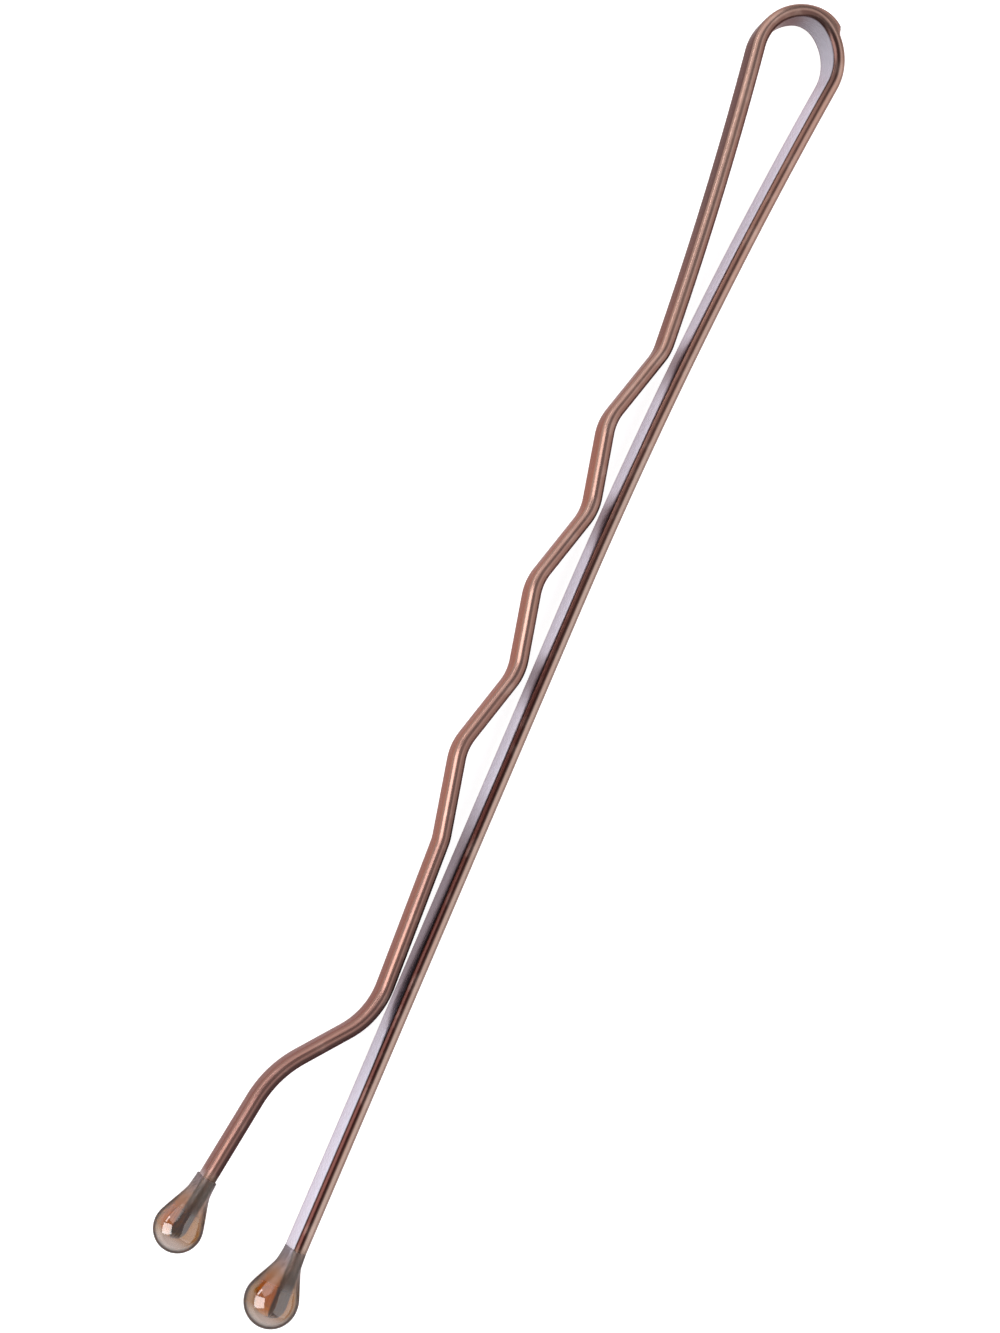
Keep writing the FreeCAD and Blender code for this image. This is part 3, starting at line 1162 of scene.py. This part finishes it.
@dataclass(frozen=True)
class Effect:
    """A surface effect that any finish can use, as a node group.

    Attributes:
        name: the group's name.
        inputs: the group's number inputs and their usual values, after its vector.
        outputs: the group's number outputs.
    """

    name: str
    inputs: dict[str, float]
    outputs: tuple[str, ...]

    def start(self) -> tuple[Board, bpy.types.Node, bpy.types.Node]:
        """Makes an empty group with its sockets.

        Returns:
            The group's board and its two ends.
        """
        tree = bpy.data.node_groups.new(self.name, "ShaderNodeTree")
        tree.interface.new_socket("Vector", in_out="INPUT", socket_type="NodeSocketVector")
        for label, usual in self.inputs.items():
            socket = tree.interface.new_socket(label, in_out="INPUT", socket_type="NodeSocketFloat")
            socket.default_value = usual
        for label in self.outputs:
            tree.interface.new_socket(label, in_out="OUTPUT", socket_type="NodeSocketFloat")
        board = Board(tree)
        return board, tree.nodes.new("NodeGroupInput"), tree.nodes.new("NodeGroupOutput")


def drawn_grain() -> bpy.types.NodeTree:
    """Fine lines along the wire, left by drawing it: noise pulled out along its first length.

    Returns:
        The group, which gives the lines and a slow drift along the wire.
    """
    line_detail = 3.0
    drift_detail = 2.0
    drift_scale_share = 0.12
    effect = Effect("Drawn grain", {"Scale": 14.0, "Pull": 0.03}, ("Lines", "Drift"))
    board, given, made = effect.start()
    pulled = board.stretch(given.outputs["Vector"], given.outputs["Pull"])
    lines = board.noise(pulled, given.outputs["Scale"], line_detail)
    slow = board.math("MULTIPLY", given.outputs["Scale"], drift_scale_share)
    drift = board.noise(pulled, slow, drift_detail)
    board.feed(made.inputs["Lines"], board.span(lines, NOISE_LIMITS))
    board.feed(made.inputs["Drift"], board.span(drift, NOISE_LIMITS))
    return board.tree


def skin_ripple() -> bpy.types.NodeTree:
    """The skin of a dipped coat: a slow ripple, and specks of dust caught in it.

    A speck is the middle of a cell of a cell pattern, in the few cells whose own number is high.

    Returns:
        The group, which gives the ripple's height and the specks.
    """
    ripple_detail = 2.0
    speck_reach = (0.04, 0.11)
    speck_choice = (0.82, 0.84)
    effect = Effect("Skin ripple", {"Scale": 1.4, "Speck Scale": 9.0}, ("Height", "Specks"))
    board, given, made = effect.start()
    ripple = board.noise(given.outputs["Vector"], given.outputs["Scale"], ripple_detail)
    cells = board.add("ShaderNodeTexVoronoi", Vector=given.outputs["Vector"])
    board.feed(cells.inputs["Scale"], given.outputs["Speck Scale"])
    near = board.span(cells.outputs["Distance"], speck_reach, (1.0, 0.0))
    drawn = board.add("ShaderNodeSeparateColor", Color=cells.outputs["Color"]).outputs["Red"]
    chosen = board.span(drawn, speck_choice)
    board.feed(made.inputs["Height"], ripple)
    board.feed(made.inputs["Specks"], board.math("MULTIPLY", near, chosen))
    return board.tree


def edge_wear() -> bpy.types.NodeTree:
    """Where handling has thinned a coat: patches of noise that keep to the edges.

    Returns:
        The group, which gives the mask of the worn places.
    """
    patch_detail = 4.0
    patch_limits = (0.55, 0.75)
    edge_limits = (0.5, 1.0)
    effect = Effect("Edge wear", {"Edge": 0.0, "Scale": 1.1, "Reach": 0.25}, ("Mask",))
    board, given, made = effect.start()
    patches = board.noise(given.outputs["Vector"], given.outputs["Scale"], patch_detail)
    near = board.span(given.outputs["Edge"], edge_limits)
    worn = board.math("MULTIPLY", board.span(patches, patch_limits), near)
    board.feed(made.inputs["Mask"], board.math("MULTIPLY", worn, given.outputs["Reach"]))
    return board.tree


@dataclass(frozen=True)
class LacquerFinish:
    """Brown lacquer on bright steel: thin and silvery on the inside of the bend, deep on the outside.

    Stops are places along the wire, as shares of its length from the straight leg's tip, and what is
    found there. Side shares run from -1 on the outside of the bend to 1 on its inside.

    Attributes:
        bow_colour: the lacquer at the bow.
        tip_colour: the lacquer at the crimped leg's tip, where it is deeper.
        back_colour: the lacquer of the straight leg, where it is paler.
        lacquer_stops: the lacquer along the wire.
        drift_share: how far those places wander.
        streak_colour: the drawn lines under it.
        streak_limits: strength of the grain at which a line starts to show, and at which it is full.
        streak_share: how much a full line shows.
        inner_edge_shade_colour: painted shade on the inner half of each round edge, which darkens it.
        deep_edge_shade_colour: that painted shade on the straight leg.
        bow_edge_shade_colour: that painted shade on the bow.
        tip_edge_shade_colour: that painted shade on the crimped leg's tip.
        edge_shade_stops: that painted shade along the wire.
        edge_shade_side_shares: from where the painted shade on the inner edge starts to where it is
            full.
        outer_face_colour: the outer broad face.
        bow_face_shade_colour: painted shade that darkens the outer broad face by the bow.
        tip_face_colour: the outer broad face by the tip.
        face_shade_stops: the outer broad face along the wire, with painted shade by the bow.
        face_side_shares: from where the outer face starts to where it is full.
        inner_colour: the thinly coated inner face.
        grip_shade_places: from where painted shade darkens the inner face opposite the grip to where
            that ends.
        crest_reflection_starts: where a painted reflection of each crest of the waves starts on the
            inner face.
        crest_reflection_steps: from those starts to where the painted reflection is full, and to where
            it ends.
        dark_patch_levels: how much of the silvery inner face is left in those painted patches.
        bow_thin_stops: how thin it is at the bow, and past it.
        thin_side_shares: from where the inner face starts to where it is full.
        dipped_face_glow_colour: the broad faces at the wire's ends, where the resin wets them, in a
            painted orange glow of light through the ball.
        neck_face_colour: the broad faces at the necks of the beads.
        wet_stops: the wet broad faces along the wire, with the painted glow at its ends.
        dipped_edge_colour: the edges inside the beads.
        dipped_stops: what is inside the beads.
        dipped_side_shares: from where a wet face starts to where it is full, on both sides.
        worn_colour: the steel at worn edges.
        edge_tint: of reflections at a glancing angle.
        roughness_limits: between the drawn lines and on them.
        speck_roughness: what a speck of dust adds.
        line_depth: relief of the drawn lines.
        line_share: how much of that relief the lacquer leaves.
        ripple_depth: relief of the lacquer's skin.
        ripple_share: how much of that relief shows.
        coat_weight: of the clear gloss over it.
        coat_roughness: of that gloss.
    """

    bow_colour: Colour = (0.330, 0.205, 0.168)
    tip_colour: Colour = (0.235, 0.118, 0.100)
    back_colour: Colour = (0.335, 0.240, 0.203)
    lacquer_stops: ColourStops = (
        (0.28, back_colour), (0.425, bow_colour), (0.575, bow_colour), (1.0, tip_colour),
    )
    drift_share: float = 0.09
    streak_colour: Colour = (0.400, 0.215, 0.150)
    streak_limits: Limits = (0.35, 1.0)
    streak_share: float = 0.35
    # Painted shade: the inner half of each round edge is darkened, by a colour that changes along the
    # wire.
    inner_edge_shade_colour: Colour = (0.190, 0.097, 0.075)
    deep_edge_shade_colour: Colour = (0.060, 0.019, 0.015)
    bow_edge_shade_colour: Colour = (0.085, 0.043, 0.036)
    tip_edge_shade_colour: Colour = (0.050, 0.024, 0.021)
    edge_shade_stops: ColourStops = (
        (0.22, deep_edge_shade_colour), (0.42, inner_edge_shade_colour), (0.45, inner_edge_shade_colour),
        (0.48, bow_edge_shade_colour), (0.50, bow_edge_shade_colour), (0.53, inner_edge_shade_colour),
        (0.78, inner_edge_shade_colour), (0.90, tip_edge_shade_colour),
    )
    edge_shade_side_shares: Limits = (0.0, 0.35)
    outer_face_colour: Colour = (0.390, 0.175, 0.118)
    # Painted shade: the outer broad face is darkened by the bow.
    bow_face_shade_colour: Colour = (0.110, 0.072, 0.064)
    tip_face_colour: Colour = (0.250, 0.115, 0.090)
    face_shade_stops: ColourStops = (
        (0.59, bow_face_shade_colour), (0.70, outer_face_colour), (0.84, outer_face_colour),
        (0.92, tip_face_colour),
    )
    face_side_shares: Limits = (-0.9, -0.99)
    inner_colour: Colour = (0.880, 0.880, 1.000)
    # Painted shade opposite the grip and painted reflections of the crests darken the inner face.
    grip_shade_places: tuple[float, ...] = (0.098, 0.118, 0.167, 0.187)
    crest_reflection_starts: tuple[float, ...] = (0.215, 0.276, 0.338)
    crest_reflection_steps: tuple[float, ...] = (0.0, 0.012, 0.017, 0.024)
    dark_patch_levels: tuple[float, ...] = (1.0, 0.4, 0.4, 1.0)
    bow_thin_stops: LevelStops = ((0.46, 1.0), (0.51, 0.15))
    thin_side_shares: Limits = (0.9, 0.99)
    # Painted glow: the broad faces inside the balls are bright orange.
    dipped_face_glow_colour: Colour = (0.600, 0.290, 0.090)
    neck_face_colour: Colour = (0.360, 0.310, 0.320)
    wet_stops: ColourStops = (
        (0.009, dipped_face_glow_colour), (0.018, neck_face_colour), (0.982, neck_face_colour),
        (0.991, dipped_face_glow_colour),
    )
    dipped_edge_colour: Colour = (0.075, 0.048, 0.022)
    dipped_stops: LevelStops = ((0.019, 1.0), (0.0225, 0.0), (0.9775, 0.0), (0.981, 1.0))
    dipped_side_shares: Limits = (0.85, 0.97)
    worn_colour: Colour = (0.560, 0.420, 0.360)
    edge_tint: Colour = (0.60, 0.43, 0.42)
    roughness_limits: Limits = (0.24, 0.32)
    speck_roughness: float = 0.25
    line_depth: float = 0.01 * MM
    line_share: float = 0.05
    ripple_depth: float = 0.02 * MM
    ripple_share: float = 0.12
    coat_weight: float = 0.12
    coat_roughness: float = 0.05

    def thin_coat_and_shade_stops(self) -> LevelStops:
        """How much of the silvery inner face shows along the wire, with patches of painted shade
        opposite the grip and painted reflections opposite the crests.

        Returns:
            The stops, in order along the wire.
        """
        starts = self.crest_reflection_starts
        crests = (tuple(start + step for step in self.crest_reflection_steps) for start in starts)
        dark_patches = (zip(places, self.dark_patch_levels) for places in (self.grip_shade_places, *crests))
        return (*chain.from_iterable(dark_patches), *self.bow_thin_stops)

    def coat_colour(self, board: Board, lines: bpy.types.Node) -> bpy.types.NodeSocket:
        """The unworn coat, side by side round the wire, with painted shade on the inner edges and on
        the outer face by the bow, painted dark patches on the inner face and a painted glow inside the
        balls.

        Args:
            board: where the nodes go.
            lines: the drawn grain on that board.

        Returns:
            The colour.
        """
        along = board.marked(Mark.ALONG).outputs["Fac"]
        side = board.marked(Mark.INWARD).outputs["Fac"]
        wander = (-self.drift_share, self.drift_share)
        drift = board.span(lines.outputs["Drift"], (0.0, 1.0), wander)
        lacquer = board.ramp(board.math("ADD", along, drift), self.lacquer_stops)
        streak = board.span(lines.outputs["Lines"], self.streak_limits, (0.0, self.streak_share))
        lined = board.blend(streak, lacquer, self.streak_colour)
        # Painted shade: the inner half of each round edge is darkened.
        edge = board.span(side, self.edge_shade_side_shares)
        edge_shaded = board.blend(edge, lined, board.ramp(along, self.edge_shade_stops))
        # Painted shade: the outer broad face is darkened by the bow.
        outer = board.span(side, self.face_side_shares)
        face_shaded = board.blend(outer, edge_shaded, board.ramp(along, self.face_shade_stops))
        # Painted shade opposite the grip and painted reflections of the crests: dark patches on the
        # silvery inner face.
        inner = board.span(side, self.thin_side_shares)
        thin = board.math("MULTIPLY", inner, board.levels(along, self.thin_coat_and_shade_stops()))
        bright = board.blend(thin, face_shaded, self.inner_colour)
        # Painted glow: the broad faces inside the balls are bright orange.
        broad = board.span(board.math("ABSOLUTE", side), self.dipped_side_shares)
        wet = board.blend(broad, self.dipped_edge_colour, board.ramp(along, self.wet_stops))
        return board.blend(board.levels(along, self.dipped_stops), bright, wet)

    def material(
        self, grain: bpy.types.NodeTree, skin: bpy.types.NodeTree, wear: bpy.types.NodeTree
    ) -> bpy.types.Material:
        """The finish as a material.

        Args:
            grain: the drawn grain.
            skin: the dipped skin.
            wear: the edge wear.

        Returns:
            The material.
        """
        made = bpy.data.materials.new("brown_lacquer")
        board = Board.of(made)
        space = board.marked(Mark.WIRE_SPACE).outputs["Vector"]
        lines = board.group(grain, space)
        ripple = board.group(skin, space)
        worn = board.group(wear, space)
        board.feed(worn.inputs["Edge"], board.marked(Mark.RIM).outputs["Fac"])
        colour = board.blend(worn.outputs["Mask"], self.coat_colour(board, lines), self.worn_colour)
        smooth = board.span(lines.outputs["Lines"], (0.0, 1.0), self.roughness_limits)
        dusty = board.math("MULTIPLY", ripple.outputs["Specks"], self.speck_roughness)
        lined = board.relief(lines.outputs["Lines"], self.line_share, self.line_depth)
        rippled = board.relief(
            ripple.outputs["Height"], self.ripple_share, self.ripple_depth, under=lined
        )
        along = board.marked(Mark.ALONG).outputs["Fac"]
        bare = board.math("SUBTRACT", 1.0, board.levels(along, self.dipped_stops))
        shader = board.add(
            "ShaderNodeBsdfPrincipled",
            Base_Color=colour,
            Metallic=bare,
            Roughness=board.math("ADD", smooth, dusty),
            Specular_Tint=self.edge_tint,
            Coat_Weight=board.math("MULTIPLY", bare, self.coat_weight),
            Coat_Roughness=self.coat_roughness,
            Normal=rippled,
        )
        board.add("ShaderNodeOutputMaterial", Surface=shader.outputs["BSDF"])
        return made


@dataclass(frozen=True)
class ResinFinish:
    """Clear amber resin, pale in the film at the neck, deep round the wire's end and clear past it.

    Attributes:
        neck_colour: what light keeps through the film.
        ball_colour: what light keeps through the ball.
        ball_stops: how much of the ball's colour there is from the neck to the end.
        cloud_scale: size of the clouds in the colour.
        cloud_detail: how finely they break up.
        cloud_share: how strong they are.
        rim_shade_colour: painted shade along the skin where it is seen edgeways, which darkens the
            ball's outline.
        rim_shares: how far from facing the skin is where that starts, and where it is full.
        rim_shade_stops: how much of that painted shade there is from the neck to the end.
        roughness: of its skin.
        ripple_depth: relief of its skin.
        ripple_share: how much of that relief shows.
        index: its index of refraction.
        rim_roughness: what the skin's roughness gains along the rim, which then reflects little.
        neck_roughness_stops: what it gains from the neck to the end.
        gloss_weight: of the glossy skin on it, where it faces the eye.
        gloss_index: index of that skin.
        gloss_stops: how much of it there is from the neck to the end.
    """

    neck_colour: Colour = (0.86, 0.80, 0.82)
    ball_colour: Colour = (0.46, 0.18, 0.015)
    ball_stops: LevelStops = ((0.15, 0.0), (0.5, 1.0), (0.83, 1.0), (0.94, 0.0))
    cloud_scale: float = 1.3
    cloud_detail: float = 2.0
    cloud_share: float = 0.1
    # Painted shade darkens the ball's outline.
    rim_shade_colour: Colour = (0.070, 0.028, 0.016)
    rim_shares: Limits = (0.36, 0.62)
    rim_shade_stops: LevelStops = ((0.15, 0.45), (0.5, 1.0))
    roughness: float = 0.07
    ripple_depth: float = 0.03 * MM
    ripple_share: float = 0.03
    index: float = 1.5
    rim_roughness: float = 0.6
    neck_roughness_stops: LevelStops = ((0.35, 0.3), (0.6, 0.0))
    gloss_weight: float = 1.0
    gloss_index: float = 1.7
    gloss_stops: LevelStops = ((0.3, 0.0), (0.5, 1.0))

    def material(self, skin: bpy.types.NodeTree) -> bpy.types.Material:
        """The finish as a material.

        Args:
            skin: the dipped skin.

        Returns:
            The material.
        """
        made = bpy.data.materials.new("amber_resin")
        board = Board.of(made)
        space = board.marked(Mark.BEAD_SPACE).outputs["Vector"]
        ripple = board.group(skin, space)
        place = board.marked(Mark.BALL).outputs["Fac"]
        deep = board.levels(place, self.ball_stops)
        noise = board.noise(space, self.cloud_scale, self.cloud_detail)
        cloud = board.span(noise, NOISE_LIMITS, (-self.cloud_share, self.cloud_share))
        body = board.blend(board.math("ADD", deep, cloud), self.neck_colour, self.ball_colour)
        edgeways = board.add("ShaderNodeLayerWeight").outputs["Facing"]
        outline = board.span(edgeways, self.rim_shares)
        rim = board.math("MULTIPLY", outline, board.levels(place, self.rim_shade_stops))
        # Painted shade: the ball's outline is darkened where the skin is seen edgeways.
        colour = board.blend(rim, body, self.rim_shade_colour)
        facing = board.span(edgeways, self.rim_shares, (self.gloss_weight, 0.0))
        gloss = board.math("MULTIPLY", facing, board.levels(place, self.gloss_stops))
        matt_limits = (self.roughness, self.roughness + self.rim_roughness)
        matt = board.span(edgeways, self.rim_shares, matt_limits)
        soft = board.math("ADD", matt, board.levels(place, self.neck_roughness_stops))
        shader = board.add(
            "ShaderNodeBsdfPrincipled",
            Base_Color=colour,
            Roughness=soft,
            IOR=self.index,
            Transmission_Weight=1.0,
            Coat_Weight=gloss,
            Coat_IOR=self.gloss_index,
            Normal=board.relief(ripple.outputs["Height"], self.ripple_share, self.ripple_depth),
        )
        board.add("ShaderNodeOutputMaterial", Surface=shader.outputs["BSDF"])
        return made


@dataclass(frozen=True)
class Softbox:
    """A soft studio lamp that faces the pin.

    Attributes:
        name: the lamp's name.
        bearing_degrees: its direction from the pin, from +X towards +Y.
        elevation_degrees: its height over the table, as an angle.
        distance: from the pin.
        width: across, along the table.
        height: the other way.
        radiance: its brightness, where 1 is white.
    """

    name: str
    bearing_degrees: float
    elevation_degrees: float
    distance: float
    width: float
    height: float
    radiance: float

    def light(self, middle: Vector) -> None:
        """Puts the lamp in the scene: its power is its brightness times pi times its area.

        Args:
            middle: the point that it faces.
        """
        lamp = bpy.data.lights.new(self.name, "AREA")
        lamp.shape = "RECTANGLE"
        lamp.size = self.width
        lamp.size_y = self.height
        lamp.energy = self.radiance * math.pi * self.width * self.height
        shown = place_object(lamp)
        away = direction(self.bearing_degrees, self.elevation_degrees)
        shown.location = middle + self.distance * away
        shown.rotation_euler = away.to_track_quat("Z", "Y").to_euler()
        shown.visible_camera = False


def direction(bearing_degrees: float, elevation_degrees: float) -> Vector:
    """The unit vector towards a bearing and an elevation.

    Args:
        bearing_degrees: from +X towards +Y.
        elevation_degrees: over the table.

    Returns:
        The vector.
    """
    bearing, elevation = math.radians(bearing_degrees), math.radians(elevation_degrees)
    level = math.cos(elevation)
    return Vector((level * math.cos(bearing), level * math.sin(bearing), math.sin(elevation)))


@dataclass(frozen=True)
class Studio:
    """A white table, soft lamps on both sides, and a camera over the pin.

    Attributes:
        lens: the camera's focal length, in millimetres on a sensor 36 wide on its long side.
        aim: the point in the middle of the picture.
        distance: from the camera to that point.
        bearing_degrees: the camera's direction from the pin.
        elevation_degrees: the camera's height over the table, as an angle.
        up_bearing_degrees: the direction along the table that is up in the picture.
        near_clip: the camera sees nothing nearer than this.
        table_side: side of the square table top.
        table_colour: the table top.
        table_glow: light that comes up through the table where it is seen, so that it shows white.
        reflected_glow_share: how much of that light shows in reflections.
        bent_glow_share: how much of it shows through the beads.
        lit_reach: distance from a surface up to which the table is at its lightest in reflections.
        dark_reach: distance from which it is at its darkest in them.
        far_glow_share: how much of the light is left there.
        wall_colour: the room's grey wall.
        ceiling_colour: the ceiling, which is a little lighter.
        ceiling_shares: where the wall passes into the ceiling, as shares of the height overhead.
        backdrop_colour: what the camera sees past the table.
        softboxes: the lamps.
    """

    lens: float = 60.0
    aim: Place = (-1.794 * MM, -0.144 * MM, 1.305 * MM)
    distance: float = 77.284 * MM
    bearing_degrees: float = 119.69
    elevation_degrees: float = 71.71
    up_bearing_degrees: float = 24.34
    near_clip: float = 1.0 * MM
    table_side: float = 1.2
    table_colour: Colour = (0.62, 0.62, 0.62)
    table_glow: float = 0.75
    reflected_glow_share: float = 0.6
    bent_glow_share: float = 0.5
    lit_reach: float = 3.0 * MM
    dark_reach: float = 14.0 * MM
    far_glow_share: float = 0.35
    wall_colour: Colour = (0.40, 0.39, 0.40)
    ceiling_colour: Colour = (0.42, 0.41, 0.43)
    ceiling_shares: Limits = (0.2, 0.6)
    backdrop_colour: Colour = (1.0, 1.0, 1.0)
    softboxes: tuple[Softbox, ...] = (
        Softbox(
            "key_softbox", bearing_degrees=112.0, elevation_degrees=26.0, distance=0.6,
            width=0.46, height=0.5, radiance=4.8,
        ),
        Softbox(
            "low_strip", bearing_degrees=75.0, elevation_degrees=9.0, distance=0.6,
            width=0.24, height=0.08, radiance=5.0,
        ),
        Softbox(
            "left_softbox", bearing_degrees=46.0, elevation_degrees=24.0, distance=0.62,
            width=0.55, height=0.5, radiance=1.3,
        ),
        Softbox(
            "right_softbox", bearing_degrees=-88.0, elevation_degrees=45.0, distance=0.6,
            width=1.0, height=0.86, radiance=1.1,
        ),
    )

    def set_up(self) -> None:
        """Builds the table, the room, the lamps and the camera."""
        self.lay_table()
        self.paint_room()
        for softbox in self.softboxes:
            softbox.light(Vector(self.aim))
        self.place_camera()
        bpy.context.scene.view_settings.view_transform = "Standard"

    def lay_table(self) -> None:
        """Lays a white table top under the pin, which shows the pin's shadow."""
        square = ((-1.0, -1.0, 0.0), (1.0, -1.0, 0.0), (1.0, 1.0, 0.0), (-1.0, 1.0, 0.0))
        mesh = bpy.data.meshes.new("table_top")
        mesh.from_pydata(self.table_side / 2 * np.array(square), [], [range(len(square))])
        table = place_object(mesh)
        material = bpy.data.materials.new("white_table")
        board = Board.of(material)
        ray = board.add("ShaderNodeLightPath")
        away = ray.outputs["Ray Length"]
        near = board.span(away, (self.lit_reach, self.dark_reach), (1.0, self.far_glow_share))
        mirrored = board.math("MULTIPLY", ray.outputs["Is Glossy Ray"], self.reflected_glow_share)
        bent = board.math("MULTIPLY", ray.outputs["Is Transmission Ray"], self.bent_glow_share)
        indirect = board.math("MULTIPLY", board.math("MAXIMUM", mirrored, bent), near)
        seen = board.math("MAXIMUM", ray.outputs["Is Camera Ray"], indirect)
        glow = board.add("ShaderNodeEmission", Strength=board.math("MULTIPLY", seen, self.table_glow))
        matt = board.add("ShaderNodeBsdfDiffuse", Color=self.table_colour)
        both = board.tree.nodes.new("ShaderNodeAddShader")
        board.feed(both.inputs[0], glow.outputs["Emission"])
        board.feed(both.inputs[1], matt.outputs["BSDF"])
        board.add("ShaderNodeOutputMaterial", Surface=both.outputs["Shader"])
        mesh.materials.append(material)

    def paint_room(self) -> None:
        """Surrounds the table with an even grey room, which the camera itself sees as white."""
        world = bpy.data.worlds.new("studio")
        bpy.context.scene.world = world
        board = Board.of(world)
        away = board.add("ShaderNodeTexCoord").outputs["Generated"]
        height = board.add("ShaderNodeSeparateXYZ", Vector=away).outputs["Z"]
        share = board.span(height, self.ceiling_shares)
        room = board.blend(share, self.wall_colour, self.ceiling_colour)
        seen = board.add("ShaderNodeLightPath").outputs["Is Camera Ray"]
        shown = board.blend(seen, room, self.backdrop_colour)
        background = board.add("ShaderNodeBackground", Color=shown)
        board.add("ShaderNodeOutputWorld", Surface=background.outputs["Background"])

    def place_camera(self) -> None:
        """Puts the camera where the photograph was taken from."""
        lens = bpy.data.cameras.new("camera")
        lens.lens = self.lens
        lens.clip_start = self.near_clip
        camera = place_object(lens)
        back = direction(self.bearing_degrees, self.elevation_degrees)
        right = direction(self.up_bearing_degrees, 0.0).cross(back).normalized()
        turned = Matrix((right, back.cross(right), back)).transposed().to_4x4()
        camera.matrix_world = Matrix.Translation(Vector(self.aim) + self.distance * back) @ turned
        bpy.context.scene.camera = camera


def main() -> None:
    """Builds the pin's pieces in order, dresses them and sets up the studio."""
    logging.basicConfig(level=logging.INFO, format="%(name)s: %(message)s")
    wire = Wire.from_frame()
    bow = SpringBow("bow_wire", "spring_bow", wire)
    straight = StraightLeg("straight_leg_wire", "straight_leg", wire, bow=bow)
    crimped = CrimpedLeg("crimped_leg_wire", "crimped_leg", wire, bow=bow)
    bow.join(straight, crimped)
    straight_bead = ResinBead("straight_leg_bead", "straight_leg_tip", wire, straight)
    crimped_bead = ResinBead("crimped_leg_bead", "crimped_leg_tip", wire, crimped)
    skin = skin_ripple()
    finishes = {
        Slot.WIRE: LacquerFinish().material(drawn_grain(), skin, edge_wear()),
        Slot.RESIN: ResinFinish().material(skin),
    }
    for piece in (straight, bow, crimped, straight_bead, crimped_bead):
        shown = piece.make(finishes[piece.slot])
        LOG.info("%s: %d faces", shown.name, len(shown.data.polygons))
    Studio().set_up()


if __name__ == "__main__":
    main()
